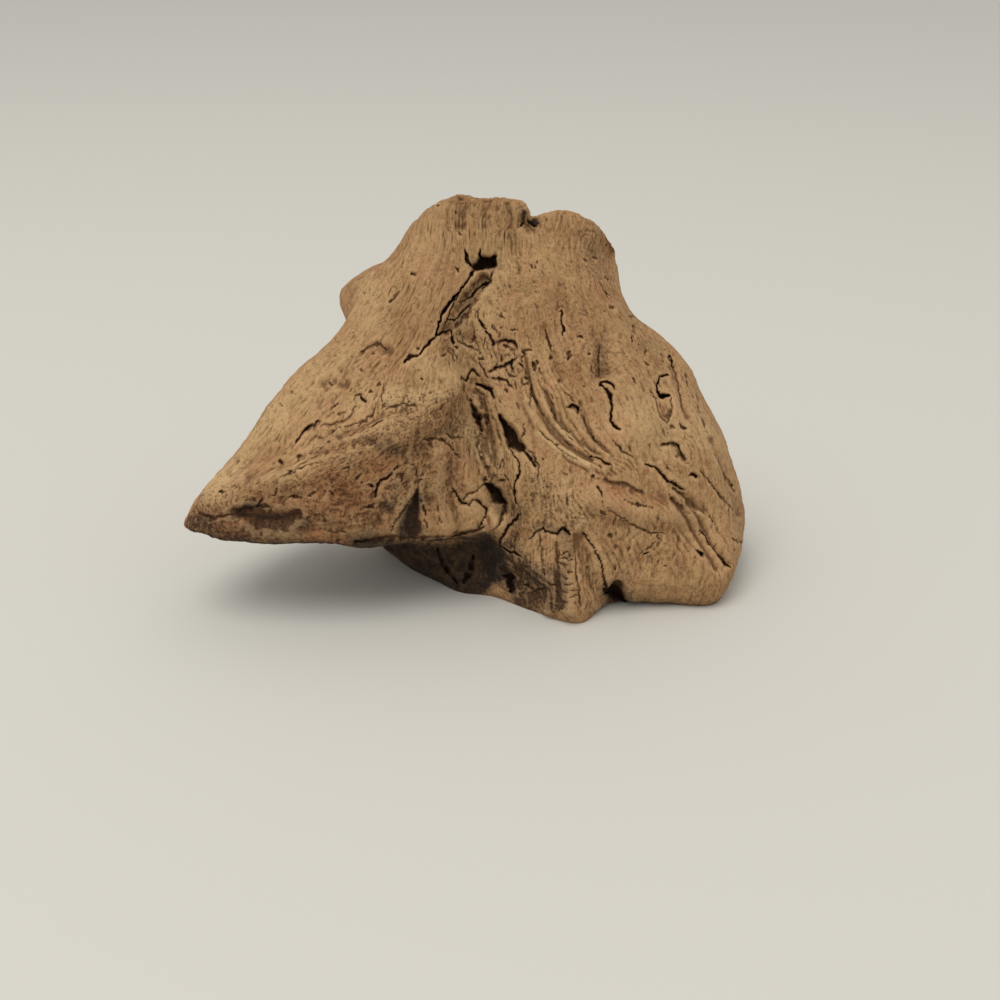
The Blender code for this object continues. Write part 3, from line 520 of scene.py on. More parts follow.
# Half width, depth and path, as above.
FINE_CUTS = numbered({
    "cleft": [
        (1.2, 2.5, [(456, 268), (459, 272)]), (0.6, 6, [(489, 282), (480, 288), (470, 298), (461, 302)]),
        (0.55, 6, [(462, 286), (452, 306), (446, 322)]),
        (0.55, 6, [(471, 304), (462, 312), (455, 320), (448, 318)]),
        (0.9, 3, [(494, 268), (490, 282), (483, 290)]),
    ],
    "below_cleft": [
        (1.0, 2.5, [(450, 348), (454, 354), (456, 361)]),
        (0.7, 2, [(461, 341), (466, 344), (474, 348), (480, 354)]),
        (0.8, 2, [(455, 352), (459, 357), (458, 361)]), (0.8, 2, [(477, 362), (484, 372), (488, 380)]),
        (0.9, 2, [(479, 320), (478, 312), (480, 309)]),
    ],
    "valley": [
        (0.8, 2, [(482, 431), (481, 446), (484, 456), (487, 462)]), (1.0, 2.2, [(487, 416), (486, 420)]),
        (0.7, 1.8, [(460, 384), (466, 392), (472, 404)]),
        (0.8, 2, [(487, 400), (492, 412), (496, 430), (500, 446)]), (1.3, 2.5, [(486, 462), (489, 466)]),
        (1.2, 2.5, [(486, 474), (486, 482)]), (1.0, 2, [(502, 474), (504, 478)]),
        (0.8, 2, [(503, 474), (508, 484), (512, 494)]), (0.7, 2, [(524, 424), (524, 432), (521, 440)]),
        (0.7, 2, [(522, 447), (530, 452), (538, 466), (539, 480)]),
        (1.0, 3, [(497, 499), (503, 506), (504, 516), (500, 524), (494, 530)]),
    ],
    "shoulder": [
        (0.7, 1.8, [(529, 410), (531, 396), (532, 384)]), (0.9, 2.2, [(537, 361), (537, 365)]),
        (1.4, 2.2, [(550, 356), (551, 361)]), (1.0, 2, [(521, 357), (523, 363)]),
        (1.6, 3.2, [(570, 352), (569, 359)]), (1.1, 2.4, [(587, 353), (590, 353)]),
        (1.0, 2, [(558, 380), (560, 381)]), (0.8, 1.6, [(583, 386), (585, 387)]),
        (1.1, 2.8, [(590, 366), (593, 373)]),
        (0.8, 2.2, [(603, 344), (601, 356), (602, 368), (601, 375)]),
        (0.7, 2, [(565, 393), (569, 396), (574, 401)]), (0.8, 1.8, [(546, 330), (549, 344), (551, 352)]),
        (0.7, 1.6, [(528, 336), (531, 350)]), (1.3, 2.2, [(632, 329), (635, 333)]),
        (1.0, 2, [(531, 265), (532, 269)]),
    ],
    "crest": [
        (1.0, 2, [(585, 259), (588, 260)]), (1.2, 2, [(599, 256), (603, 257)]),
        (1.4, 2.2, [(611, 273), (615, 277)]), (1.1, 2, [(609, 307), (611, 308)]),
        (0.8, 1.6, [(603, 280), (608, 288), (612, 298)]),
    ],
})
print("thin cracks and pits from the cleft to the crest:", len(FINE_CUTS))

# %% [markdown]
# ## Thin cracks on the skirt
# On the skirt the fibres curve down and outwards, and the cracks follow them, long and narrow.
# A rule could lay them along the grain, but real ones are known by where they start and stop,
# so each is drawn.

# %% Thin cracks on the skirt
FINE_CUTS |= numbered({
    "skirt_flow": [
        (0.9, 2.2, [(584, 418), (588, 430), (594, 440), (602, 448), (610, 454)]),
        (0.9, 2.2, [(561, 436), (566, 443), (574, 447)]),
        (1.2, 2.4, [(551, 410), (556, 420), (563, 427), (570, 434)]),
        (1.1, 2.2, [(532, 384), (534, 396), (538, 408), (543, 416)]),
        (0.8, 2, [(540, 430), (550, 440), (560, 450), (576, 460)]),
        (0.9, 2, [(566, 436), (580, 446), (592, 456)]), (0.8, 1.8, [(612, 440), (622, 452), (634, 458)]),
    ],
    "skirt_edge": [
        (0.8, 1.8, [(675, 364), (679, 380), (681, 396), (687, 414)]),
        (0.7, 1.5, [(686, 372), (694, 396), (703, 420), (712, 446)]),
        (1.1, 1.8, [(714, 454), (720, 464), (726, 474), (734, 492)]),
        (0.9, 1.8, [(700, 470), (716, 492), (730, 510)]),
        (1.1, 2.4, [(730, 538), (735, 542), (741, 545)]),
    ],
    "skirt_foot": [
        (0.9, 1.8, [(656, 541), (648, 548), (640, 556)]),
        (1.6, 2, [(676, 488), (688, 500), (700, 510), (712, 520)]),
        (1.2, 1.6, [(670, 494), (682, 508), (690, 514)]),
        (0.8, 1.6, [(620, 497), (636, 505), (652, 506)]),
        (0.8, 1.6, [(618, 518), (632, 524), (650, 532), (664, 534)]),
        (0.7, 1.4, [(600, 500), (612, 512), (628, 520)]),
    ],
})
print("with the skirt:", len(FINE_CUTS))

# %% [markdown]
# ## Thin cracks on the lobe
# The lobe has short hooked splits on its upper face, slits where the knob begins, and chipped
# spots towards the tip. They could be scattered by a seed, like the smallest chips further on,
# but these are large enough to be told apart, so each has its own place.

# %% Thin cracks on the lobe
FINE_CUTS |= numbered({
    "lobe": [
        (1.0, 2.2, [(358, 424), (366, 419), (372, 414)]), (0.9, 2, [(373, 426), (380, 421), (384, 420)]),
        (0.7, 1.8, [(384, 384), (382, 394), (383, 402)]), (1.2, 2.4, [(369, 390), (372, 391)]),
        (0.8, 2, [(352, 398), (354, 393), (359, 392), (364, 394)]), (1.0, 1.8, [(326, 380), (328, 379)]),
        (0.9, 2, [(420, 379), (424, 381)]), (1.4, 2.6, [(383, 406), (386, 402)]),
        (1.4, 1.8, [(406, 404), (415, 406)]), (1.0, 1.6, [(280, 402), (282, 406)]),
        (1.0, 1.6, [(327, 441), (330, 442)]),
        (0.8, 1.6, [(357, 352), (366, 344), (376, 340), (384, 345)]),
        (1.1, 1.6, [(388, 302), (394, 296), (400, 290)]),
        (0.7, 1.4, [(330, 428), (352, 424), (372, 416)]),
        (0.8, 1.6, [(386, 408), (396, 404), (410, 402)]),
        (0.7, 1.4, [(284, 478), (300, 470), (318, 464)]), (1.2, 2, [(412, 273), (414, 276)]),
    ],
    "knob": [
        (1.1, 2.2, [(359, 271), (351, 282), (347, 296), (348, 311)]), (1.2, 2, [(362, 294), (365, 292)]),
    ],
    "beak": [
        (1.3, 2.4, [(221, 494), (226, 493)]), (1.2, 2.4, [(289, 498), (296, 496), (303, 499)]),
        (1.4, 2, [(200, 514), (214, 518), (228, 514)]), (1.4, 2.4, [(256, 508), (264, 507), (268, 510)]),
        (1.6, 2.6, [(235, 511), (244, 508), (250, 511)]),
    ],
    "face": [
        (1.3, 2.5, [(379, 518), (383, 524)]), (1.2, 2.2, [(362, 510), (372, 508), (380, 502)]),
        (1.0, 2, [(330, 492), (334, 498)]), (0.8, 1.6, [(398, 467), (407, 462), (416, 466)]),
        (0.8, 1.8, [(416, 466), (418, 478), (417, 490)]),
        (0.9, 1.8, [(320, 530), (334, 534), (350, 532)]), (1.0, 3, [(417, 490), (405, 506), (392, 530)]),
        (0.9, 2.5, [(420, 498), (424, 512), (428, 530)]),
    ],
})
print("with the lobe:", len(FINE_CUTS))

# %% [markdown]
# ## Thin cracks near the foot
# Low down the cracks run upright along the bulge, and wider slits lie under the lobe. In such
# deep shade a dark line in the colour might do, but from low down the slits are in plain view,
# so they are cut as well.

# %% Thin cracks near the foot
FINE_CUTS |= numbered({
    "flank": [
        (0.8, 2, [(426, 440), (436, 438), (446, 442), (453, 449), (460, 457)]),
        (0.8, 1.8, [(444, 432), (452, 437), (464, 438)]),
        (0.7, 1.6, [(469, 440), (472, 450), (471, 462)]),
        (0.8, 2, [(463, 500), (470, 494), (478, 490), (488, 484)]),
        (0.8, 1.8, [(436, 505), (438, 514), (441, 522)]),
    ],
    "bulge": [
        (0.8, 1.8, [(540, 536), (541, 556), (543, 574)]), (0.9, 2, [(556, 542), (558, 566), (558, 596)]),
        (0.8, 1.8, [(576, 552), (577, 580), (580, 606)]),
        (0.7, 1.6, [(588, 560), (592, 584), (596, 600)]),
        (1.4, 1.5, [(522, 568), (534, 574), (546, 582), (556, 586)]),
        (1.3, 2.4, [(520, 588), (530, 594), (542, 590)]),
        (1.2, 2.2, [(500, 566), (506, 574), (510, 590)]),
    ],
    "underside": [
        (2.0, 4, [(356, 541), (388, 538), (415, 536), (433, 537), (461, 532), (484, 527)]),
        (2.6, 6, [(473, 556), (470, 570), (464, 582)]), (2.0, 5, [(438, 548), (444, 566), (456, 582)]),
    ],
})
print("thin cracks and pits in all:", len(FINE_CUTS))

# %% [markdown]
# ## Bundles of fibres
# The weather has combed the fibres into bundles with fine grooves between them. Each groove
# could be drawn by itself, but they run side by side, so two guide lines are enough and the
# grooves are spread evenly from the one to the other.

# %% Bundles of fibres
# Two guide lines with equally many points, then how many grooves lie between them, their half
# width and their depth.
GRAIN_BUNDLES = {
    "crown": ([(450, 180), (438, 250), (424, 300)], [(524, 186), (524, 262), (528, 330)], 9, 1.2, 0.25),
    "crest": ([(548, 222), (552, 268), (556, 330)], [(596, 240), (610, 280), (616, 320)], 7, 1.2, 0.2),
    "skirt_flow": ([(520, 372), (532, 420), (560, 456), (596, 480)],
                   [(560, 372), (584, 414), (606, 446), (640, 468)], 8, 0.9, 0.9),
    "skirt_side": ([(600, 350), (622, 392), (634, 430), (646, 460)],
                   [(676, 352), (694, 400), (708, 446), (724, 500)], 9, 0.9, 0.3),
    "low_flow": ([(566, 490), (584, 520), (604, 556), (612, 576)],
                 [(650, 492), (680, 516), (704, 548), (720, 580)], 14, 0.8, 0.5),
    "corner": ([(672, 500), (696, 540), (716, 572)], [(706, 500), (722, 530), (734, 562)], 5, 0.9, 0.9),
    "lobe_plane": ([(392, 262), (340, 330), (270, 410), (206, 500)],
                   [(440, 330), (400, 380), (330, 430), (232, 500)], 12, 1.1, 0.25),
    "lobe_brow": ([(456, 372), (420, 398), (340, 434), (224, 492)],
                  [(462, 420), (420, 446), (340, 476), (226, 508)], 12, 0.9, 0.5),
    "lobe_face": ([(410, 470), (350, 490), (270, 508)], [(404, 520), (350, 532), (250, 532)], 8, 1.0, 0.6),
    "flank": ([(440, 424), (432, 470), (434, 524)], [(482, 424), (484, 466), (478, 510)], 9, 0.8, 0.5),
    "valley": ([(466, 360), (480, 410), (486, 470)], [(500, 400), (510, 446), (516, 500)], 9, 0.8, 0.9),
    "bulge": ([(528, 552), (530, 576), (536, 600)], [(556, 548), (557, 572), (558, 600)], 9, 0.6, 0.5),
    "bulge_right": ([(578, 540), (582, 572), (584, 610)], [(598, 560), (602, 580), (602, 596)], 5, 0.7, 0.5),
    "under_cleft": ([(458, 338), (470, 360), (484, 384)], [(500, 340), (508, 362), (516, 390)], 7, 0.8, 0.8),
}


def bundle_strokes(bundles):
    """Turn each bundle into single grooves, evenly spread between its two guides."""
    strokes = {}
    for name, (first, last, count, half_width, depth) in bundles.items():
        first, last = np.array(first, float), np.array(last, float)
        for k in range(count):
            share = (k + 0.5) / count
            strokes[f"{name}_{k}"] = (half_width, depth, first * (1 - share) + last * share)
    return strokes


print("grooves between fibres:", len(bundle_strokes(GRAIN_BUNDLES)))

# %% [markdown]
# ## Stains, painted shade and a painted highlight
# Damp and soil have darkened the wood in places, resin has reddened it, and rubbing has made it pale. Some of
# the dark marks are painted shade in hollows and grooves, and one pale mark is a painted highlight. Stains
# could be painted on an image. Strokes with a strength in place of a depth do as well: they lie where the
# drawing says and stay sharp from close by.

# %% Dark, warm and pale stains, with painted shade and a painted highlight
# Half width, strength and path.
# Dark stains, and painted shade: the marks in the beak's hollow, the notch, the cleft and its hole, the
# crown's cup and grooves, beside the valley's holes, beside the slit, on the shelf, in the base notch and on
# the knob's rim stand for shade.
DARK_STAINS_AND_SHADE = {
    "beak": (10, 0.55, [(236, 512, 0.6), (256, 520, 1), (280, 524, 1), (304, 522, 0.5)]),
    "beak_high": (4, 0.8, [(234, 510, 0.6), (248, 507, 1), (266, 508, 0.7)]),
    "beak_low": (8, 0.7, [(196, 526), (226, 536), (262, 534), (300, 534)]),
    "beak_tip": (8, 0.45, [(190, 516), (214, 519), (240, 508)]),
    "lobe_low_speckle": (15, 0.24, [(206, 520), (260, 530), (330, 526), (390, 516)]),
    "face_low": (8, 0.4, [(300, 512), (340, 532), (376, 528)]),
    "face_grey": (6, 0.8, [(376, 442), (390, 446), (404, 450)]),
    "brow_grey": (9, 0.6, [(420, 444), (436, 438), (456, 430)]),
    "brow_speckle": (14, 0.15, [(400, 430), (430, 420), (456, 400)]),
    "face_side": (14, 0.12, [(310, 478), (350, 466), (410, 462)]),
    "face_patch": (6, 0.7, [(386, 506), (394, 500)]),
    "face_facet": (7, 0.45, [(392, 484), (406, 478)]),
    # Painted shade on the notch's facet and at its foot.
    "notch": (7.5, 1.3, [(416, 500), (412, 514), (412, 526)]),
    "notch_foot": (5, 0.9, [(404, 526), (424, 528)]),
    "valley_hole_side": (5, 0.5, [(502, 418), (512, 440), (524, 454)]),
    "valley_foot": (8, 0.8, [(490, 486), (500, 504), (516, 512), (518, 540)]),
    "bulge_patch": (13, 2.0, [(500, 562), (520, 574), (540, 582), (554, 592)]),
    "bulge_core": (6, 1.6, [(506, 572), (508, 588), (520, 592)]),
    "bulge_patch_high": (9, 0.7, [(496, 550), (506, 566), (520, 570)]),
    "bulge_top": (6, 0.9, [(540, 530), (556, 533), (568, 532)]),
    "bulge_low": (7, 0.9, [(520, 594), (540, 600), (556, 590)]),
    "bulge_rib": (5, 0.6, [(566, 536), (566, 566), (566, 600)]),
    "base_notch": (7, 1.3, [(606, 592), (618, 592), (628, 598)]),
    "base_notch_high": (6, 0.4, [(614, 574), (622, 576)]),
    "cleft": (7, 0.6, [(484, 280), (468, 302), (450, 328)]),
    "cleft_hole": (6, 0.9, [(478, 264), (492, 262)]),
    "crown_cup": (7, 0.55, [(520, 214), (526, 222), (536, 226)]),
    "crown_groove": (5, 0.4, [(465, 198), (462, 224)]),
    "crown_patch_a": (4, 0.35, [(448, 214), (443, 228)]),
    "crown_patch_b": (6, 0.25, [(490, 216), (488, 230)]),
    "crest_side": (10, 0.25, [(590, 240), (606, 270)]),
    # Painted shadow on the knob's left rim.
    "knob_rim": (3, 1.3, [(347, 274), (343, 288), (344, 306)]),
    "skirt_high": (16, 0.26, [(566, 316), (580, 336), (596, 348)]),
    "bulge_high": (12, 0.16, [(534, 504), (552, 508), (566, 512)]),
    "slit_side": (5, 0.4, [(606, 350), (602, 372)]),
    "shelf": (7, 0.35, [(676, 488), (692, 510)]),
}
WARM_STAINS = {
    "face_red": (7, 0.6, [(380, 466), (396, 462)]),
    "face_warm": (14, 0.5, [(320, 494), (350, 486), (368, 478)]),
    "lobe_low_warm": (16, 0.3, [(216, 520), (262, 524), (320, 522), (380, 512)]),
    "notch_red": (4, 0.6, [(422, 508), (426, 524)]),
    "beak_red": (5, 0.4, [(256, 500), (300, 506)]),
    "beak_tip_red": (10, 0.4, [(192, 516), (222, 522), (240, 530)]),
    "lip_red": (8, 0.4, [(616, 492), (640, 500), (656, 500)]),
    "crest_red": (5, 0.4, [(604, 290), (612, 300)]),
    "slit_red": (6, 0.3, [(580, 440), (600, 456)]),
    "low_edge_red": (6, 0.5, [(312, 540), (330, 546), (350, 546)]),
    "bulge_red": (5, 0.5, [(508, 536), (520, 526)]),
}
# Pale stains of rubbed wood, and a painted highlight on a splinter.
PALE_STAINS_AND_HIGHLIGHT = {
    "lobe_edge": (13, 0.6, [(212, 486), (244, 450), (276, 408)]),
    "lobe_plane": (16, 0.35, [(300, 390), (340, 350), (380, 300)]),
    "valley_flat": (6, 0.7, [(474, 398), (476, 420), (480, 446)]),
    "lobe_shelf": (6, 0.6, [(384, 398), (410, 396), (440, 394)]),
    "cleft_side": (8, 0.3, [(500, 268), (494, 300), (484, 320)]),
    "centre": (12, 0.5, [(420, 362), (446, 372), (460, 366)]),
    "chips": (7, 0.4, [(466, 340), (480, 360), (500, 372)]),
    "skirt": (16, 0.4, [(630, 410), (650, 440), (700, 430)]),
    "skirt_flow": (4, 0.9, [(545, 430), (566, 454), (584, 464)]),
    "skirt_flow_b": (3.5, 0.8, [(556, 422), (578, 440), (604, 456)]),
    "right_edge": (9, 0.2, [(706, 430), (724, 474), (732, 500)]),
    "low_swell": (8, 0.35, [(556, 490), (572, 500), (584, 520)]),
    "valley_low": (7, 0.6, [(476, 432), (484, 450), (490, 466)]),
    "valley_bump": (4, 0.9, [(495, 512), (498, 522)]),
    # A painted highlight on a splinter.
    "splinter": (0.9, 1.6, [(536, 484), (538, 493)]),
    "bulge_left": (7, 0.3, [(536, 548), (540, 568)]),
}
print("stains:", len(DARK_STAINS_AND_SHADE), "dark,", len(WARM_STAINS), "warm and", len(PALE_STAINS_AND_HIGHLIGHT), "pale")

# %% [markdown]
# ## Painted shade and rough places
# The underside lies in shade below the overhang, and its colour has painted shade. Where small facets have
# broken off, and in some hollows and pits, there is painted shade with a crisp edge. Some faces are rough and
# full of little pits. Noise alone would put these anywhere, so strokes say where they are, and noise only
# makes their edges uneven.

# %% Painted shade and rough places
# Painted shade on the underside, below the overhang, where it lies in shade.
UNDERSIDE_SHADE_PLACES = {
    "underside": (17, 1.6, [(366, 556), (420, 560), (456, 566), (480, 556)]),
    "underside_low": (10, 1.5, [(430, 580), (464, 590), (490, 570)]),
    "underside_left": (9, 1.5, [(388, 554), (406, 564), (426, 576)]),
    "underside_end": (6, 1.2, [(484, 540), (494, 556)]),
}
# Painted shade with a crisp edge: on the notch's facet, in the beak's hollow, in pits of the crown and the
# bulge, and in the hole under the lobe. These are not cut as cracks.
SHADE_SPOTS = {
    "notch": (9.5, 0.8, [(418, 490, 0.05), (412, 507, 0.5), (408, 530, 1)]),
    "beak_spot_a": (2.6, 0.95, [(236, 512, 0.4), (244, 508, 1), (254, 509, 0.6), (264, 505, 0.3)]),
    "beak_spot_b": (2.2, 0.7, [(232, 519, 0.3), (240, 517, 0.9), (246, 521, 0.4)]),
    "beak_spot_c": (3.2, 0.6, [(246, 520, 0.2), (258, 522, 0.8), (276, 523, 1), (294, 519, 0.2)]),
    "crown_pit_a": (2.0, 0.9, [(523, 211, 0.6), (526, 215, 1), (525, 222, 0.6)]),
    "crown_pit_b": (1.7, 0.9, [(534, 217, 0.5), (539, 221, 1)]),
    "under_hole": (7, 0.95, [(440, 562, 0.4), (452, 578, 1), (460, 596, 0.5)]),
    "bulge_spot_a": (3.4, 0.85, [(500, 574, 0.4), (507, 580, 1), (512, 594, 0.5)]),
    "bulge_spot_b": (2.6, 0.7, [(520, 576, 0.3), (530, 582, 1), (546, 588, 0.4)]),
    "facet": (4, 0.5, [(384, 498, 0.6), (388, 508, 1), (394, 514, 0.4)]),
}
# Where the surface is rough and full of small dark pits.
ROUGH_PLACES = {
    "brow": (18, 0.9, [(330, 450), (390, 440), (440, 410), (460, 430)]),
    "face": (18, 1.8, [(204, 514), (280, 506), (350, 500), (420, 480)]),
    "flank": (14, 0.9, [(440, 460), (450, 500)]),
    "valley": (8, 1.0, [(484, 390), (488, 450), (490, 480)]),
    "valley_foot": (9, 1.0, [(506, 500), (514, 530)]),
    "bulge_high": (12, 0.9, [(532, 492), (552, 506), (570, 516)]),
    "bulge_rib": (5, 1.4, [(566, 532), (567, 560), (567, 600)]),
    "bulge_patch": (12, 1.2, [(500, 566), (530, 590), (552, 606)]),
    "skirt_low": (12, 0.6, [(540, 480), (560, 510), (600, 520)]),
    "chips": (14, 0.8, [(462, 340), (500, 350), (520, 376)]),
    "cleft": (6, 1.2, [(482, 284), (466, 304), (450, 326)]),
    "lobe_shelf": (8, 0.7, [(360, 396), (400, 404), (440, 404)]),
    "shoulder": (10, 0.5, [(560, 360), (600, 370), (640, 350)]),
    "crown_cup": (5, 1.0, [(522, 220), (534, 224)]),
}

print("rough places:", len(ROUGH_PLACES), "sheltered:", len(UNDERSIDE_SHADE_PLACES), "facets:", len(SHADE_SPOTS))

# %% [markdown]
# ## Fibres on a drum
# Wood grain is long fibres, so its pattern must be fine across and long along. Every point
# gets a place on an imagined drum: the turn says which fibre it is on, the height how far
# down the fibre it is. On the lobe the fibres bend round towards the tip, so there the turn
# is pulled together, most at the tip. At the top of the crown the drum narrows to a point, so
# that the fibres don't meet there in a star. Plain x, y and z would be easier, but then the
# grain would run straight through, as in a plank.

# %% Grain places on the net
# How many stations the lobe takes, and the power that pulls them together in each row.
LOBE_STATIONS = 4.2
LOBE_PULL = (1, 1, 1, 1, 0.95, 0.8, 0.62, 0.5, 0.5, 0.6, 0.8, 1)
STATIONS_AROUND = FRONT_STATIONS + BACK_STATIONS
GRAIN_DRUM = 90
GRAIN_LENGTH = 260
CROWN_CONE = 55


def grain_net(net):
    """For each control point, which fibre it is on, in stations from the left outline."""
    fibres = np.tile(np.arange(net.shape[1], dtype=float), (len(net), 1))
    for row, pull in enumerate(LOBE_PULL):
        lobe = fibres[row] < LOBE_STATIONS
        fibres[row, lobe] = LOBE_STATIONS * (fibres[row, lobe] / LOBE_STATIONS)**pull
    return fibres


def grain_places(grid, fibres):
    """Places on the drum, in mm."""
    turn = 2 * np.pi * fibres / STATIONS_AROUND
    radius = GRAIN_DRUM * np.minimum(1, np.linalg.norm(grid - grid[0, 0], axis=2) / CROWN_CONE)
    down = np.broadcast_to(np.linspace(0, GRAIN_LENGTH, len(grid))[:, None], turn.shape)
    return np.stack([radius * np.cos(turn), radius * np.sin(turn), down], axis=-1)


print("the drum is", 2 * GRAIN_DRUM, "mm across and", GRAIN_LENGTH, "mm long")

# %% [markdown]
# ## The fine grid
# The loft is sampled every 0.6 mm across the front and more coarsely behind, where nothing
# so fine is drawn. A Subdivision Surface could do this, but it would give the back as many
# faces as the front. Fibre numbers go through the same weights, except at the seam behind the
# left outline, where the count starts again.

# %% Sample the loft
FRONT_SPACING = 0.62
BACK_SPACING = 1.5
SOLE_SPACING = 3.0


def spline_weights(count, steps, closed):
    """Catmull-Rom weights, one row a sample; steps[i] samples start in span i."""
    rows = []
    for span, number in enumerate(steps):
        for t in np.arange(number) / number:
            curve = (-t + 2 * t**2 - t**3, 2 - 5 * t**2 + 3 * t**3, t + 4 * t**2 - 3 * t**3, t**3 - t**2)
            row = np.zeros(count)
            for offset, weight in zip((-1, 0, 1, 2), curve):
                place = span + offset
                place = place % count if closed else min(max(place, 0), count - 1)
                row[place] += weight / 2
            rows.append(row)
    if not closed:
        rows.append(np.eye(count)[-1])
    return np.array(rows)


def fine_grid(net):
    """Points and fibre numbers in rows and columns."""
    down = np.linalg.norm(np.diff(net, axis=0), axis=2).mean(axis=1)
    around = np.linalg.norm(np.roll(net, -1, axis=1) - net, axis=2)[2:-3].mean(axis=0)
    spacing = np.where(np.arange(len(around)) < FRONT_STATIONS, FRONT_SPACING, BACK_SPACING)
    row_spacing = np.where(np.arange(len(down)) < len(down) - 2, FRONT_SPACING, SOLE_SPACING)
    row_weights = spline_weights(len(net), np.ceil(down / row_spacing).astype(int) + 1, closed=False)
    column_steps = np.ceil(around / spacing).astype(int) + 1
    column_weights = spline_weights(net.shape[1], column_steps, closed=True)
    grid = np.einsum("ir,jc,rcx->ijx", row_weights, column_weights, net)
    stations = np.repeat(np.arange(len(column_steps)), column_steps)
    within = np.concatenate([np.arange(n) / n for n in column_steps])
    fibre_rows = row_weights @ grain_net(net)
    fibre_rows = np.hstack([fibre_rows, np.full((len(fibre_rows), 1), float(STATIONS_AROUND))])
    fibres = fibre_rows[:, stations] * (1 - within) + fibre_rows[:, stations + 1] * within
    return grid, fibres


def grid_points(grid):
    """The grid's points as one list, with a single point at each pole."""
    return np.vstack([grid[0, :1], grid[1:-1].reshape(-1, grid.shape[-1]), grid[-1, :1]])


def grid_normals(grid):
    """Outward directions on the grid, from the differences along its two ways."""
    down = np.gradient(grid, axis=0)
    around = np.roll(grid, -1, axis=1) - np.roll(grid, 1, axis=1)
    normals = np.cross(down, around)
    normals[0] = (0, 0, 1)
    normals[-1] = (0, 0, -1)
    return normals / np.maximum(np.linalg.norm(normals, axis=2, keepdims=True), SMALLEST)


grid, fibres = fine_grid(control_net())
rows, columns = fibres.shape
grain = grid_points(grain_places(grid, fibres))
normals = grid_points(grid_normals(grid))
points = grid_points(grid)
print("fine grid:", rows, "x", columns, "points")

# %% [markdown]
# ## Fibres, nap and scales
# Closer up, layers of fibre have split off in overlapping scales, and dry wood has a short rough nap. All of
# it is noise, drawn out along the fibres on the drum. A bump map would be lighter, but the outline and the
# mesh itself would stay smooth, so it is real relief.

# %% The surface between the cracks
# Sizes and heights are in mm. The finest fibres are drawn wider than they are, so that they
# show: a bundle of them rather than a single one.
FIBRE_WIDTH = 1.5
FIBRE_STRETCH = 10
FIBRE_HEIGHT = 0.12
COARSE_FIBRES = 3
COARSE_SHARE = 1.4
NAP_SIZE = 1.9
NAP_HEIGHT = 0.18
ROUGH_SIZE = 3.2
ROUGH_HEIGHT = 0.5
LEAST_ROUGH = 0.25
FLAKE_SIZE = 7
FLAKE_HEIGHT = 0.45
FLAKE_DRIFT = 0.7
SCALE_WIDTH = 9
SCALE_STRETCH = 3.5
SCALE_STEPS = 2.6
SCALE_HEIGHT = 0.75
SCALE_EDGE = (0.32, 0.62)
SCALE_FRAY = 0.35
SCALE_FRAY_SIZE = 5
# The size of the patches in mm, the noise's number, the middle value and the swing.
SCALE_PATCHES = (20, 26, 0.55, 0.45)


def scales(points, grain):
    """Overlapping scales where layers of fibre have split off, longer along the grain."""
    level = fibre_noise(grain, SCALE_WIDTH, SCALE_STRETCH, 24)
    level += SCALE_FRAY * lattice_noise(points / SCALE_FRAY_SIZE, 25)
    level *= SCALE_STEPS
    part = level - np.floor(level)
    return SCALE_HEIGHT * (smooth_step(*SCALE_EDGE, part) - part)


def surface_height(points, bent, rough):
    """Height in mm of the fibres, the nap, the flakes and the split scales."""
    fibre = fibre_noise(bent, FIBRE_WIDTH, FIBRE_STRETCH, 5)
    coarse = fibre_noise(bent, COARSE_FIBRES * FIBRE_WIDTH, FIBRE_STRETCH, 6)
    nap = lattice_noise(points / NAP_SIZE, 7)
    flakes = np.abs(lattice_noise(points / FLAKE_SIZE + FLAKE_DRIFT * coarse[:, None], 8))
    height = FIBRE_HEIGHT * (fibre + COARSE_SHARE * coarse) + NAP_HEIGHT * nap - FLAKE_HEIGHT * flakes
    pitted = np.abs(lattice_noise(points / ROUGH_SIZE, 17))
    height -= ROUGH_HEIGHT * (LEAST_ROUGH + rough) * pitted
    return height + scales(points, bent) * uneven(points, *SCALE_PATCHES)


print("scales are", SCALE_HEIGHT, "mm high, flakes", FLAKE_HEIGHT, "mm")

# %% [markdown]
# ## Hooked chips
# Where the fibres swirl, small hooked chips have come out along them. There are far too many
# to draw one by one. Scattered freely they would ignore the grain, so they are scattered along
# guide lines that follow its flow. A seed makes them fall alike every time.

# %% Hooked chips
# Guide lines: how many chips, how far off the line they lie in squares, and the line.
CHIP_GUIDES = {
    "centre": (16, 9, [(452, 336), (478, 350), (504, 366), (528, 384)]),
    "flow": (16, 9, [(500, 320), (528, 360), (560, 416), (604, 462)]),
    "skirt": (14, 14, [(600, 300), (640, 380), (690, 470)]),
    "valley": (12, 6, [(470, 380), (488, 430), (500, 490)]),
    "lobe": (10, 12, [(420, 350), (360, 400), (280, 460)]),
    "low": (10, 10, [(560, 480), (620, 520), (690, 560)]),
    "face": (14, 12, [(440, 450), (350, 490), (240, 515)]),
}
CHIP_SEED = 12
# The turn off the line in radians, the reach in squares and the half width in mm.
CHIP_TURN = 0.6
CHIP_REACH = (1.4, 4.4)
CHIP_WIDTH = (0.6, 1.35)
# How far the hook bends aside, in reaches, and how deep a chip is, in half widths.
CHIP_HOOK = 1
CHIP_DEPTH = 2.0


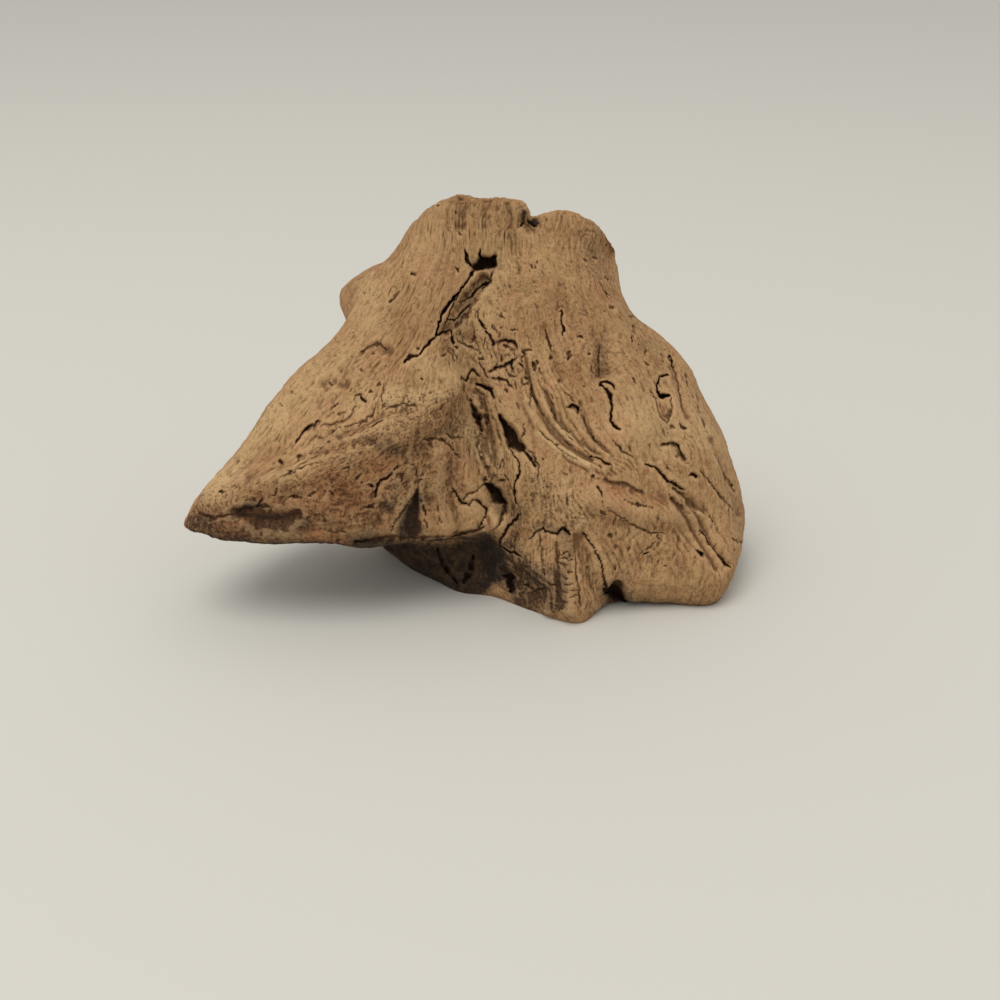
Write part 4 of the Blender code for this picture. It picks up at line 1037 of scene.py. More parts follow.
def chip_strokes():
    """Small hooked chips along the guide lines, each turned a little off the line."""
    random = np.random.RandomState(CHIP_SEED)
    strokes = {}
    for name, (count, spread, guide) in CHIP_GUIDES.items():
        guide = np.array(guide, float)
        for k in range(count):
            leg = random.randint(len(guide) - 1)
            ahead = guide[leg + 1] - guide[leg]
            middle = guide[leg] + random.uniform() * ahead + random.normal(0, spread, 2)
            turn = math.atan2(ahead[1], ahead[0]) + random.normal(0, CHIP_TURN)
            along = np.array([math.cos(turn), math.sin(turn)]) * random.uniform(*CHIP_REACH)
            across = np.array([-along[1], along[0]])
            hook = middle + along + across * random.uniform(-CHIP_HOOK, CHIP_HOOK)
            width = random.uniform(*CHIP_WIDTH)
            strokes[f"chip_{name}_{k}"] = (width, CHIP_DEPTH * width, [middle - along, middle, hook])
    return strokes


print("chips:", len(chip_strokes()))

# %% [markdown]
# ## Worm pits
# Worms left round pits, one to three millimetres across, all over the front. Dots in the
# colour would show them from afar, but a real pit has a rim that catches the light, so they
# are cut, at seeded places.

# %% Worm pits
WORM_PITS = 190
WORM_PIT_SEED = 23
# In squares: the corners of the part of the drawing with wood, and how far a pit is drawn out.
WOOD_ON_DRAWING = ((200, 200), (745, 615))
WORM_PIT_TAIL = 2
# In mm: the half width, and the depth of the widest.
WORM_PIT_RADIUS = (0.6, 1.3)
WORM_PIT_DEPTH = 1.4


def worm_pit_strokes():
    """Small round pits at seeded places on the drawing."""
    random = np.random.RandomState(WORM_PIT_SEED)
    strokes = {}
    for k in range(WORM_PITS):
        place = random.uniform(*WOOD_ON_DRAWING)
        radius = random.uniform(*WORM_PIT_RADIUS)
        end = place + random.uniform(-WORM_PIT_TAIL, WORM_PIT_TAIL, 2)
        strokes[f"pit_{k}"] = (radius, WORM_PIT_DEPTH * radius / WORM_PIT_RADIUS[1], [place, end])
    return strokes


print("worm pits:", len(worm_pit_strokes()))

# %% [markdown]
# ## Cross checks on the rib
# The upright rib of the bulge has dried and opened in short cross checks, one above the other
# like the rungs of a ladder. An Array modifier would space them evenly, but real ones differ
# in length, slant and distance, so a seed spreads them.

# %% Cross checks on the rib
LADDER_SEED = 5
LADDER_CHECKS = 26
# In squares: from where to where down the rib, its middle, and the scatter to each side.
LADDER_RUN = (539, 602)
LADDER_MIDDLE = 565
LADDER_SCATTER = 4
# The reach and the slant in squares, the half width in mm and the depth in half widths.
LADDER_REACH = (0.5, 4)
LADDER_SLANT = 1
LADDER_WIDTH = (0.5, 1.0)
LADDER_DEPTH = 1.4


def ladder_strokes():
    """Short cross checks down the rib of the bulge, of uneven length and spacing."""
    random = np.random.RandomState(LADDER_SEED)
    strokes = {}
    for k in range(LADDER_CHECKS):
        middle = np.array([LADDER_MIDDLE + random.normal(0, LADDER_SCATTER), random.uniform(*LADDER_RUN)])
        reach = np.array([random.uniform(*LADDER_REACH), random.normal(0, LADDER_SLANT)])
        width = random.uniform(*LADDER_WIDTH)
        strokes[f"ladder_{k}"] = (width, LADDER_DEPTH * width, [middle - reach, middle + reach])
    return strokes


print("cross checks:", len(ladder_strokes()))

# %% [markdown]
# ## Slits along the grain
# Dry wood opens in short slits between its fibres. Strokes on the drawing could make them, but
# only as straight marks. Here the drum is divided into cells, and each may hold one slit, so
# the slits bend with the fibres wherever these go.

# %% Slits along the grain
# The cells on the drum, in mm, and the share of them that holds a slit.
CHECK_CELL = (4.2, 4.2, 11)
CHECK_SHARE = 0.55
CHECK_SEED = 31
# In cells: the margin that a slit's middle keeps, its room inside, and the slit's soft edge.
CHECK_MARGIN = 0.3
CHECK_ROOM = 0.4
CHECK_EDGE = (0.06, 0.3)


def grain_checks(grain):
    """Short slits along the fibres, one at most in each cell of the drum: 1 in the middle, 0 outside."""
    place = grain / CHECK_CELL
    cell = np.floor(place).astype(int) % NOISE_CELLS
    random = np.random.RandomState(CHECK_SEED).uniform(0, 1, (NOISE_CELLS,) * 3 + (4,))
    # Three of a cell's numbers place its slit, the fourth says whether it has one.
    drawn = random[tuple(cell.T)]
    gap = place - np.floor(place) - (CHECK_MARGIN + CHECK_ROOM * drawn[:, :3])
    inside = 1 - smooth_step(*CHECK_EDGE, np.linalg.norm(gap, axis=1))
    return inside * (drawn[:, 3] < CHECK_SHARE)


print("slits along the grain in", round(100 * CHECK_SHARE), "% of the cells")

# %% [markdown]
# ## Adding up the fine relief
# The combed bundles and the surface sink or rise softly. Of the cuts only the deepest counts at each point,
# so two that cross don't make a pit. They break off and start again, because weathered wood has hardly any
# line without a gap. How dark a cut is could come from the light alone, but each also leaves a mark of
# painted shade for the material, which darkens it as its shadow would.

# %% Depth and shade of the fine relief
# The solid has larger faces, so it has the thin cuts wider than they are.
NARROWING = 0.56
NARROWEST = 0.85
NARROWED_BELOW = 3.1
# How much painted shade a cut gets goes by its depth over its half width.
DARK_RATIO = (0.6, 1.6)
DARK_WIDTH = 0.9
LIP_DARK_WIDTH = 0.3
LIP_DARK_RATIO = (0.0, 1.0)
THIN_DARK = 0.62
CHECK_DARK = 0.8
CHECK_DEPTH = 1.1
# Patchiness: the size of the patches in mm, the noise's number, the middle value and the swing.
COMB_PATCHES = (9, 12, 0.55, 0.45)
CUT_BREAKS = (2.8, 22, 0.7, 0.5)
SHADE_BREAKS = (3.5, 27, 0.85, 0.45)
# Worm pits are only where the combing's patches are above this.
PITTED_ABOVE = 0.62
CHECKS_WHERE_ROUGH = 0.3
FIBRE_SWAY = 2.6
FIBRE_SWAY_SIZE = 16
COMB_WANDER = 3
COMB_WANDER_SIZE = 6
RAGGED_SIZE = 1.6
RAGGED_EDGE = 0.6


def true_half_width(half_width):
    """A cut's half width on the fine mesh."""
    return half_width if half_width >= NARROWED_BELOW else max(NARROWEST, half_width * NARROWING)


def narrowed(strokes):
    """The solid's cuts at their true width."""
    return {name: (true_half_width(half_width), depth, path)
            for name, (half_width, depth, path) in strokes.items()}


def darkness_strokes(strokes, width, ratios):
    """The same strokes as marks of shade: deep narrow ones are black, shallow wide ones hardly."""
    return {name: (half_width * width, smooth_step(*ratios, depth / half_width), path)
            for name, (half_width, depth, path) in strokes.items()}


def fine_relief(points, grain, seen, facing, rough):
    """Depths in mm of the fine surface and of the thin cuts, and the painted shade of the thin cuts."""
    sway = noise_pair(points / FIBRE_SWAY_SIZE, 15) * FIBRE_SWAY
    bent = grain + np.column_stack([sway, np.zeros(len(grain))])
    wander = noise_pair(points / COMB_WANDER_SIZE, 9)
    patchy = uneven(points, *COMB_PATCHES)
    combed = stroke_depth(seen + wander * COMB_WANDER, facing, bundle_strokes(GRAIN_BUNDLES), soft)
    ragged = seen + wander + noise_pair(points / RAGGED_SIZE, 20) * RAGGED_EDGE / SQUARE
    broken = uneven(points, *CUT_BREAKS)
    thin_cuts = FINE_CUTS | ladder_strokes() | chip_strokes()
    cuts = stroke_depth(ragged, facing, thin_cuts, cut) * broken
    pits = stroke_depth(ragged, facing, worm_pit_strokes(), cut) * (patchy > PITTED_ABOVE)
    checks = grain_checks(bent) * np.clip(patchy + CHECKS_WHERE_ROUGH * rough, 0, 1) * (facing > 0)
    # Painted shade in the thin cuts, the worm pits and the slits.
    dark = stroke_depth(ragged, facing, darkness_strokes(thin_cuts, DARK_WIDTH, DARK_RATIO), cut) * broken
    dark = np.maximum(np.maximum(dark, pits / WORM_PIT_DEPTH) * THIN_DARK, checks * CHECK_DARK)
    thin = np.maximum(cuts, np.maximum(pits, checks * CHECK_DEPTH))
    return combed * patchy - surface_height(points, bent, rough), thin, np.clip(dark, 0, 1)


print("cuts below", NARROWED_BELOW, "mm half width are narrowed, to", NARROWEST, "mm at least")

# %% [markdown]
# ## Carving
# First the burl is pushed out. Then the soft forms sink or rise along the surface's own direction, and the
# cracks go straight in, away from the eye. Each point remembers how dark its crack makes it, and how far it
# has moved in or out. A displacement in the material could do the same at render time, but then the mesh
# itself would lack it.

# %% Carve the fine grid
# The carving fades towards the ground, in mm, so the foot stays flat.
FOOT_FADE = 5
# How far the noise shifts the edge of a stain, in squares, and the size of that noise in mm.
STAIN_WANDER = 7
STAIN_WANDER_SIZE = 9


def carve(points, normals, grain, rough):
    """Carved points, the painted shade of each for lying in a cut, and how far each has moved outward."""
    gap = np.linalg.norm(points - KNOB_MIDDLE, axis=1) / KNOB_RADIUS
    points = points + soft(gap)[:, None] * np.array(KNOB_PUSH)
    edge = (noise_pair(points / EDGE_WANDER_SIZE, 2) * EDGE_WANDER
            + noise_pair(points / RAGGED_SIZE, 18) * RAGGED_EDGE) / SQUARE
    height = LUMP_HEIGHT * lattice_noise(points / LUMP_SIZE, 0)
    height += SMALL_LUMP_HEIGHT * lattice_noise(points / SMALL_LUMP_SIZE, 4)
    height += RIB_HEIGHT * fibre_noise(grain, RIB_WIDTH, RIB_STRETCH, 1)
    move = normals * height[:, None]
    shade = np.zeros(len(points))
    broken = uneven(points, *SHADE_BREAKS)
    for behind, forms, cuts, lips in DRAWINGS:
        seen = on_drawing(points, behind)
        eyeward, facing = to_eye(points, normals, behind)
        move -= normals * stroke_depth(seen, facing, forms, soft)[:, None]
        seen, cuts = seen + edge, narrowed(cuts)
        sunk = np.maximum(stroke_depth(seen, facing, cuts, cut), stroke_depth(seen, facing, lips, lip))
        move -= eyeward * sunk[:, None]
        marks = darkness_strokes(cuts, DARK_WIDTH, DARK_RATIO)
        marks |= darkness_strokes(lips, LIP_DARK_WIDTH, LIP_DARK_RATIO)
        shade = np.maximum(shade, stroke_depth(seen, facing, marks, cut) * broken)
    eyeward, facing = to_eye(points, normals)
    fine, thin, dark = fine_relief(points, grain, on_drawing(points), facing, rough)
    move -= normals * fine[:, None] + eyeward * thin[:, None]
    height = (move * normals).sum(axis=1)
    return points + move * smooth_step(0, FOOT_FADE, points[:, 2:]), np.maximum(shade, dark), height


def stain_share(seen, facing, stains, wander):
    """How strongly a set of stains, rough places or painted shade covers each point, from 0 to 1."""
    return np.clip(stroke_depth(seen + wander, facing, stains, soft), 0, 1)


seen = on_drawing(points)
facing = to_eye(points, normals)[1]
wander = noise_pair(points / STAIN_WANDER_SIZE, 13) * STAIN_WANDER
rough = stain_share(seen, facing, ROUGH_PLACES, wander)
points, shade, height = carve(points, normals, grain, rough)
points[:, 2] = np.maximum(points[:, 2], 0)
print("carved from", height.min().round(1), "to", height.max().round(1), "mm along the surface's direction")

# %% [markdown]
# ## Painted shade, painted highlights and stains
# Painted shade goes into what lies low, and a painted highlight onto what stands high. The material could ask
# for the pointiness of the mesh, but that is only known at render time, so each point compares its own height
# with a blurred copy of the heights round it. Stains are measured in the same step.

# %% Values for the material
# The painted shade under the overhang and the painted shade spots have steadier edges than the stains, by
# these shares.
UNDER_SHADE_WANDER = 1 / 2
SHADE_SPOT_WANDER = 1 / 4
# How squarely the wood must face down before painted shade starts on it, and when it is in full.
FACING_DOWN_SHADE = (0.3, 0.95)
# How often the heights are blurred, and with neighbours how many cells away.
NEAR_BLUR = (8, 1)
FAR_BLUR = (8, 4)
# How much the depth below the near copy counts, and the near copy's depth below the far one.
NEAR_WEIGHT = 2.6
FAR_WEIGHT = 0.13
# The back has this share of the painted shade and highlight of the relief, and the change lies where the
# surface turns from the eye.
BACK_RELIEF_LIGHT = 0.75
BACK_TURN = (-0.2, 0.2)


def blurred(field, passes, stride):
    """A grid of values smoothed by its neighbours `stride` cells away, round the columns."""
    for _ in range(passes):
        field = (2 * field + np.roll(field, stride, axis=1) + np.roll(field, -stride, axis=1)) / 4
        padded = np.pad(field, ((stride, stride), (0, 0)), mode="edge")
        field = (2 * field + padded[2 * stride:] + padded[:-2 * stride]) / 4
    return field


def hollowness(height, rows, columns):
    """How far each point lies below what is round it, close by and farther off, by weight."""
    inner = height[1:-1].reshape(rows - 2, columns)
    field = np.vstack([np.full((1, columns), height[0]), inner, np.full((1, columns), height[-1])])
    near = blurred(field, *NEAR_BLUR)
    far = blurred(near, *FAR_BLUR)
    relief_shade_and_highlight = (near - field) * NEAR_WEIGHT + (far - near) * FAR_WEIGHT
    return grid_points(relief_shade_and_highlight[..., None])[:, 0]


# Painted shade on wood that faces down and under the overhang, with the crisp painted shade spots.
sheltered = np.maximum(smooth_step(*FACING_DOWN_SHADE, -normals[:, 2]),
                       stain_share(seen, facing, UNDERSIDE_SHADE_PLACES, wander * UNDER_SHADE_WANDER))
shade_spots = stroke_depth(seen + wander * SHADE_SPOT_WANDER, facing, SHADE_SPOTS, cut)
relief_light_share = BACK_RELIEF_LIGHT + (1 - BACK_RELIEF_LIGHT) * smooth_step(*BACK_TURN, facing)
values = {"grain": grain, "shade": shade, "rough": rough, "sheltered": np.maximum(sheltered, shade_spots),
          "relief_shade_and_highlight": np.clip(hollowness(height, rows, columns), -1, 1) * relief_light_share}
for name, stains in (("dark", DARK_STAINS_AND_SHADE), ("warm", WARM_STAINS), ("pale", PALE_STAINS_AND_HIGHLIGHT)):
    values[name] = stain_share(seen, facing, stains, wander)
print("values at each point:", ", ".join(values))

# %% [markdown]
# ## The mesh
# Over six hundred thousand triangles hold every groove but are more than the piece needs. A
# coarser grid would lose the cracks everywhere. Merging the flattest triangles leaves the fine
# ones where the cracks are.

# %% Build the piece
TRIANGLES = 197000


def grid_quads(rows, columns):
    """Corner numbers of a grid that closes round its columns, with fans at both poles."""
    ring = np.arange(columns)
    after = (ring + 1) % columns
    start = 1 + np.arange(rows - 3)[:, None] * columns
    quads = np.stack([start + ring, start + columns + ring, start + columns + after, start + after], axis=-1)
    last = 1 + (rows - 2) * columns
    low = last - columns
    top = [(0, int(a) + 1, int(b) + 1) for a, b in zip(ring, after)]
    sole = [(low + int(a), last, low + int(b)) for a, b in zip(ring, after)]
    return top + quads.reshape(-1, 4).tolist() + sole


def write_attribute(mesh, name, values):
    """Store one number, or one vector, for each point of a mesh."""
    kind, field = ("FLOAT", "value") if values.ndim == 1 else ("FLOAT_VECTOR", "vector")
    attribute = mesh.attributes.new(name, kind, "POINT")
    attribute.data.foreach_set(field, values.astype(np.float32).ravel())


def triangle_count(mesh):
    """How many triangles a mesh has once its faces are split."""
    return sum(len(face.vertices) - 2 for face in mesh.polygons)


def thinned(mesh, ratio, name):
    """A copy with its flattest triangles merged."""
    dense = bpy.data.objects.new("dense", mesh)
    bpy.context.scene.collection.objects.link(dense)
    decimate = dense.modifiers.new("decimate", "DECIMATE")
    decimate.ratio = ratio
    graph = bpy.context.evaluated_depsgraph_get()
    thin = bpy.data.meshes.new_from_object(
        dense.evaluated_get(graph), preserve_all_data_layers=True, depsgraph=graph)
    bpy.data.objects.remove(dense, do_unlink=True)
    bpy.data.meshes.remove(mesh)
    thin.name = name
    return thin


def place_in_box(points, low, high):
    """Move the points from the drawing's frame to the part's, and keep them in its box."""
    box_low, box_high = np.array(low) / MM, np.array(high) / MM
    shift = (box_low + box_high - points.min(axis=0) - points.max(axis=0)) / 2
    shift[2] = 0
    return np.clip(points + shift, box_low, box_high), shift


placed, shift = place_in_box(points, *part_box("driftwood"))
mesh = bpy.data.meshes.new("fine_wood")
mesh.from_pydata((placed * MM).tolist(), [], grid_quads(rows, columns))
for name, field in values.items():
    write_attribute(mesh, name, field)
dense_count = triangle_count(mesh)
mesh = thinned(mesh, TRIANGLES / dense_count, "driftwood_fine")
mesh.shade_smooth()
wood = bpy.data.objects.new("driftwood_fine", mesh)
bpy.context.scene.collection.objects.link(wood)
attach(wood, "root")
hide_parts("driftwood")
print("fine wood:", dense_count, "triangles thinned to", triangle_count(mesh), "shift", shift.round(3))

# %% [markdown]
# ## Weathered wood
# The piece is raw root wood, worn by water and bleached by sun, never planed or oiled. To the
# eye that gives a rough, matte surface with almost no shine. An image of wood could be laid on
# it. Noise that follows the fibres does as well and has no seam and no stretched places.

# %% Linear colours and one node helper
def linear(code):
    """A linear colour from a hex code, by the sRGB formula."""
    channels = [int(code[i:i + 2], 16) / 255 for i in (1, 3, 5)]
    return (*[c / 12.92 if c <= 0.04045 else ((c + 0.055) / 1.055)**2.4 for c in channels], 1.0)


def add_node(tree, kind, settings=None, **links):
    """Add a node and set its properties, then its inputs: to a value, a socket or a node's first output."""
    node = tree.nodes.new(kind)
    for name, value in (settings or {}).items():
        setattr(node, name, value)
    for name, value in links.items():
        key = int(name[2:]) if name.startswith("in") and name[2:].isdigit() else name.replace("_", " ")
        socket = node.inputs[key]
        if isinstance(value, bpy.types.Node):
            value = value.outputs[0]
        if isinstance(value, bpy.types.NodeSocket):
            tree.links.new(value, socket)
        else:
            socket.default_value = value
    return node


print("tan wood is", [round(c, 3) for c in linear("#b18b5f")[:3]], "in linear colour")

# %% [markdown]
# ## Patterns in the wood
# The colour of real wood changes in broad patches, in streaks along the fibres, and in flecks
# and pores. A wave texture gives the even rings of a plank, but a root has none, so every
# pattern here is noise with a size in millimetres: even in all directions, or drawn out along
# the fibres on the drum.

# %% Noises, pores and the values of the mesh
# Even noises: the size in mm and how many finer ones are added to it.
SPECKLES = {"patches": (30, 4), "tint": (17, 3), "mottle": (5, 5), "flecks": (1.5, 6), "nap": (0.9, 3)}
# Noises along the fibres: the width in mm and how many times as long. Single fibres are a few
# hundredths of a millimetre wide. They are drawn as coarse as they need to be to show.
STREAKS = {"streak": (1.3, 7), "broad": (6, 3.5), "grit": (0.9, 2.2)}
STREAK_DETAIL = 3
NOISE_ROUGHNESS = 0.6
# Pores are drawn as dots, in mm, and in this share of places where it is smooth and rough.
PORE_SPACING = 2.4
PORE_RADIUS = 0.6
PORES_BY_ROUGHNESS = (0.1, 0.6)
FROM_MESH = ("rough", "pale", "warm", "dark", "relief_shade_and_highlight", "sheltered", "shade")


def pores(tree, place, rough):
    """Round dots in the cells of a Voronoi texture, in more of them where the wood is rough."""
    cells = add_node(tree, "ShaderNodeTexVoronoi", None, Vector=place, Scale=1 / (PORE_SPACING * MM))
    rim = PORE_RADIUS / PORE_SPACING
    dots = add_node(tree, "ShaderNodeMapRange", None, Value=cells, From_Min=rim, From_Max=rim / 2)
    drawn = add_node(tree, "ShaderNodeSeparateColor", None, Color=cells.outputs["Color"])
    limit = add_node(tree, "ShaderNodeMapRange", None, Value=rough,
                     To_Min=PORES_BY_ROUGHNESS[0], To_Max=PORES_BY_ROUGHNESS[1])
    kept = add_node(tree, "ShaderNodeMath", {"operation": "LESS_THAN"}, in0=drawn, in1=limit)
    return add_node(tree, "ShaderNodeMath", {"operation": "MULTIPLY"}, in0=dots, in1=kept).outputs[0]


def wood_patterns(tree):
    """Every pattern, and every value that the mesh carries, by name."""
    place = add_node(tree, "ShaderNodeTexCoord").outputs["Object"]
    grain = add_node(tree, "ShaderNodeAttribute", {"attribute_name": "grain"}).outputs["Vector"]
    patterns = {}
    for name in FROM_MESH:
        patterns[name] = add_node(tree, "ShaderNodeAttribute", {"attribute_name": name}).outputs["Fac"]
    for name, (size, detail) in SPECKLES.items():
        patterns[name] = add_node(tree, "ShaderNodeTexNoise", None, Vector=place, Scale=1 / (size * MM),
                                  Detail=detail, Roughness=NOISE_ROUGHNESS).outputs[0]
    for name, (width, stretch) in STREAKS.items():
        scaled = add_node(tree, "ShaderNodeVectorMath", {"operation": "MULTIPLY"}, in0=grain,
                          in1=(1 / width, 1 / width, 1 / (width * stretch)))
        patterns[name] = add_node(tree, "ShaderNodeTexNoise", None, Vector=scaled, Scale=1.0,
                                  Detail=STREAK_DETAIL, Roughness=NOISE_ROUGHNESS).outputs[0]
    patterns["pores"] = pores(tree, place, patterns["rough"])
    return patterns


print("patterns:", ", ".join([*SPECKLES, *STREAKS, "pores"]))

# %% [markdown]
# ## Layers of colour
# Raw root wood is brown with tan patches. Tints, streaks and grit lie over it, then pale and warm stains,
# flecks and pores, dark stains with painted shade among them, a painted highlight on what stands high,
# painted shade in what lies low and under the overhang, and last painted shade in the cracks. The fleck and
# light fibre colours serve both as the wood's own colour and as painted shade and highlight. One colour ramp
# could give a brown wood, but each of these has a cause of its own, so each is a layer with its own pattern.

# %% The layers
BROWN = linear("#946c45")
TAN = linear("#b18b5f")
ROSE = linear("#a87955")
OLIVE = linear("#a08759")
FLECK_AND_SHADE = linear("#4b2f1a")
LIGHT_FIBRE_AND_HIGHLIGHT = linear("#c9a678")
PALE = linear("#c3a172")
WARM = linear("#9c6440")
DARK_STAIN_AND_SHADE = linear("#362416")
PAINTED_SHADE_BROWN = linear("#241a13")
CRACK_SHADE = linear("#2c180b")
NOISE_RANGE = (0.3, 0.7)
# Each layer: the pattern, its value where the layer starts and where it is full, the share
# when full, and the colour. A noise can make its edge ragged, by so much. Another pattern can
# thin it: between two values of that pattern the share goes from the third to the fourth.
LAYERS = (
    ("patches", 0.38, 0.62, 1.0, TAN),
    ("tint", 0.5, 0.7, 0.55, ROSE),
    ("tint", 0.48, 0.3, 0.5, OLIVE),
    ("mottle", 0.5, 0.75, 0.6, BROWN),
    ("broad", 0.45, 0.7, 0.4, BROWN),
    ("streak", 0.52, 0.75, 0.2, FLECK_AND_SHADE),
    ("streak", 0.48, 0.25, 0.2, LIGHT_FIBRE_AND_HIGHLIGHT),
    ("grit", 0.54, 0.68, 0.42, FLECK_AND_SHADE),
    ("grit", 0.47, 0.3, 0.32, LIGHT_FIBRE_AND_HIGHLIGHT),
    ("pale", 0.0, 1.0, 1.0, PALE),
    ("warm", 0.0, 1.0, 1.0, WARM),
    ("flecks", 0.52, 0.62, 1.0, FLECK_AND_SHADE, {"thinned": ("rough", 0.0, 1.0, 0.18, 0.78)}),
    ("pores", 0.0, 1.0, 0.8, FLECK_AND_SHADE),
    # Dark stains, with the painted shade among them.
    ("dark", 0.12, 1.12, 0.95, DARK_STAIN_AND_SHADE, {"ragged": ("flecks", 0.4)}),
    # Painted highlight on what stands high, and painted shade in what lies low.
    ("relief_shade_and_highlight", -0.04, -0.8, 0.32, LIGHT_FIBRE_AND_HIGHLIGHT),
    ("relief_shade_and_highlight", 0.04, 0.9, 0.7, FLECK_AND_SHADE),
    # Painted shade under the overhang and in the crisp spots.
    ("sheltered", 0.05, 0.95, 1.0, PAINTED_SHADE_BROWN,
     {"ragged": ("flecks", 0.2), "thinned": ("mottle", 0.35, 0.65, 1.0, 0.86)}),
    # Painted shade in the cracks: a brown edge, then a dark core.
    ("shade", 0.1, 1.0, 0.6, FLECK_AND_SHADE),
    ("shade", 0.44, 0.76, 1.0, CRACK_SHADE, {"ragged": ("grit", 0.4)}),
)


def wood_colour(tree, patterns):
    """Brown wood with every layer laid over it in turn."""
    colour = BROWN
    for name, start, full, most, layer, *uneven_by in LAYERS:
        value, uneven_by = patterns[name], dict(*uneven_by)
        if "ragged" in uneven_by:
            noise, reach = uneven_by["ragged"]
            shift = add_node(tree, "ShaderNodeMapRange", None, Value=patterns[noise], From_Min=NOISE_RANGE[0],
                             From_Max=NOISE_RANGE[1], To_Min=-reach, To_Max=reach)
            value = add_node(tree, "ShaderNodeMath", {"operation": "ADD"}, in0=value, in1=shift)
        share = add_node(tree, "ShaderNodeMapRange", None, Value=value, From_Min=start, From_Max=full,
                         To_Max=most)
        if "thinned" in uneven_by:
            other, low, high, at_low, at_high = uneven_by["thinned"]
            left = add_node(tree, "ShaderNodeMapRange", None, Value=patterns[other], From_Min=low,
                            From_Max=high, To_Min=at_low, To_Max=at_high)
            share = add_node(tree, "ShaderNodeMath", {"operation": "MULTIPLY"}, in0=share, in1=left)
        colour = add_node(tree, "ShaderNodeMix", {"data_type": "RGBA"},
                          in0=share, in6=colour, in7=layer).outputs[2]
    return colour


print("layers of colour:", len(LAYERS))

# %% [markdown]
# ## Shine and nap
# Dry wood hardly shines, and least where the fibres have frayed. Its finest nap could be cut
# into the mesh too, but that would take millions of triangles. So this one scale is a bump in
# the material, and the mesh has all that is coarser.

# %% The wood material
# Wood's index of refraction is near 1.5 and its roughness near 0.8. Dust dulls it further.
WOOD_IOR = 1.45
WOOD_SPECULAR = 0.25
ROUGHNESS = (0.75, 0.92)
# The bump: how much streaks add, how much nap the smoothest wood has, and the height.
STREAK_BUMP = 0.7
LEAST_NAP = 0.8
BUMP_STRENGTH = 0.8
BUMP_HEIGHT = 0.9 * MM


def weathered_wood():
    """Colour, roughness and bump of raw root wood, which all follow the same fibres."""
    material = bpy.data.materials.new("weathered_root_wood")
    material.use_nodes = True
    tree = material.node_tree
    shader = tree.nodes["Principled BSDF"]
    shader.inputs["IOR"].default_value = WOOD_IOR
    shader.inputs["Specular IOR Level"].default_value = WOOD_SPECULAR
    patterns = wood_patterns(tree)
    roughness = add_node(tree, "ShaderNodeMapRange", None, Value=patterns["streak"], From_Min=NOISE_RANGE[0],
                         From_Max=NOISE_RANGE[1], To_Min=ROUGHNESS[0], To_Max=ROUGHNESS[1])
    nap_share = add_node(tree, "ShaderNodeMath", {"operation": "ADD"}, in0=patterns["rough"], in1=LEAST_NAP)
    nap = add_node(tree, "ShaderNodeMath", {"operation": "MULTIPLY"}, in0=patterns["nap"], in1=nap_share)
    fibres = add_node(tree, "ShaderNodeMath", {"operation": "MULTIPLY"},
                      in0=patterns["streak"], in1=STREAK_BUMP)
    relief = add_node(tree, "ShaderNodeMath", {"operation": "ADD"}, in0=fibres, in1=nap)
    bump = add_node(tree, "ShaderNodeBump", None, Height=relief, Strength=BUMP_STRENGTH, Distance=BUMP_HEIGHT)
    tree.links.new(wood_colour(tree, patterns), shader.inputs["Base Color"])
    tree.links.new(roughness.outputs[0], shader.inputs["Roughness"])
    tree.links.new(bump.outputs[0], shader.inputs["Normal"])
    return material


wood.data.materials.clear()
wood.data.materials.append(weathered_wood())
print("material nodes:", len(wood.data.materials[0].node_tree.nodes))

# %% [markdown]
# ## Floor and light
# The floor is board with matte paint: to the eye an even pale tone with next to no shine. It
# runs back out of view. Light is soft and comes from above, a little from the left and the
# front, with a bright even surround, so the only clear shadow is below the overhang. A sun
# lamp would be simpler, but it would draw a hard shadow in every crack.

# %% Floor, lamp and surround
FLOOR_SIZE = 16.0
FLOOR_COLOUR = linear("#c6c2b8")
FLOOR_ROUGHNESS = 0.9
FLOOR_SPECULAR = 0.1
LAMP_SIZE = 2.2
LAMP_PLACE = (-0.7, -1.1, 2.8)
LAMP_AIM = (0, 0, 0.08)
LAMP_POWER = 45.0
SURROUND = linear("#f1f2f3")
SURROUND_STRENGTH = 0.92


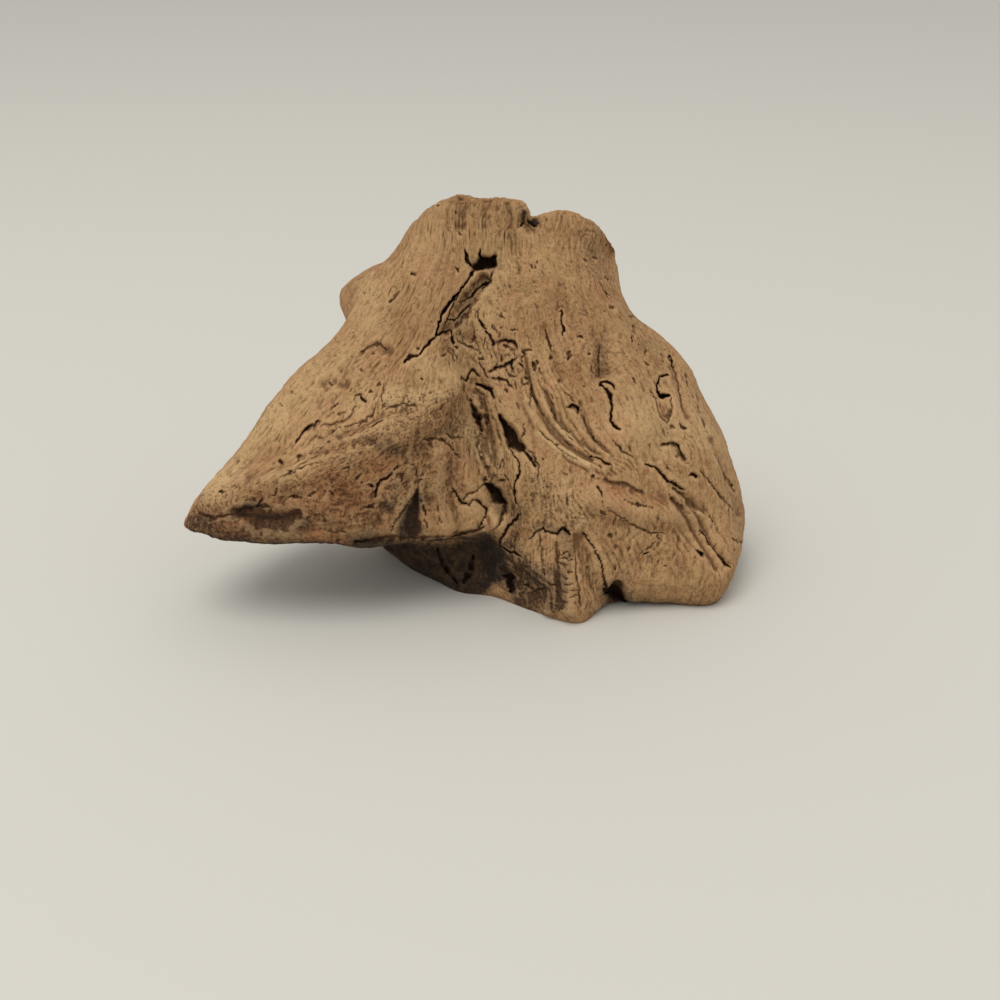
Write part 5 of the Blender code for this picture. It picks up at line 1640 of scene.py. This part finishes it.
def make_floor():
    """A large plain floor, which is only a stage for the picture."""
    bpy.ops.mesh.primitive_plane_add(size=FLOOR_SIZE, location=(0, 0, 0))
    floor = bpy.context.object
    floor.name = "floor"
    material = bpy.data.materials.new("matte_painted_board")
    material.use_nodes = True
    shader = material.node_tree.nodes["Principled BSDF"]
    shader.inputs["Base Color"].default_value = FLOOR_COLOUR
    shader.inputs["Roughness"].default_value = FLOOR_ROUGHNESS
    shader.inputs["Specular IOR Level"].default_value = FLOOR_SPECULAR
    floor.data.materials.append(material)


def make_light():
    """One large soft lamp and a bright even surround."""
    lamp = bpy.data.lights.new("soft_lamp", "AREA")
    lamp.shape = "DISK"
    lamp.size = LAMP_SIZE
    lamp.energy = LAMP_POWER
    holder = bpy.data.objects.new("soft_lamp", lamp)
    holder.location = LAMP_PLACE
    aim = Vector(LAMP_AIM) - holder.location
    holder.rotation_euler = aim.to_track_quat("-Z", "Y").to_euler()
    bpy.context.scene.collection.objects.link(holder)
    world = bpy.data.worlds.new("surround")
    world.use_nodes = True
    background = world.node_tree.nodes["Background"]
    background.inputs["Color"].default_value = SURROUND
    background.inputs["Strength"].default_value = SURROUND_STRENGTH
    bpy.context.scene.world = world


make_floor()
make_light()
bpy.context.scene.view_settings.view_transform = "Standard"
print("floor", FLOOR_SIZE, "m wide, lamp", LAMP_SIZE, "m wide at", LAMP_PLACE)

# %% [markdown]
# ## Camera
# The camera stands at the drawing's eye, a little above the piece, and looks down at 24
# degrees, with a 50 mm lens. The piece can be seen from any side, but only from here does each
# mark stand where the drawing has it.

# %% Camera at the drawing's eye
LENS = 50
SENSOR_WIDTH = 36
camera = bpy.data.cameras.new("camera")
camera.lens = LENS
camera.sensor_width = SENSOR_WIDTH
camera.sensor_fit = "HORIZONTAL"
holder = bpy.data.objects.new("camera", camera)
holder.location = Vector((EYE + shift) * MM)
holder.rotation_euler = (math.pi / 2 - LOOK_DOWN, 0, 0)
bpy.context.scene.collection.objects.link(holder)
bpy.context.scene.camera = holder
print("camera at", [round(v, 3) for v in holder.location])
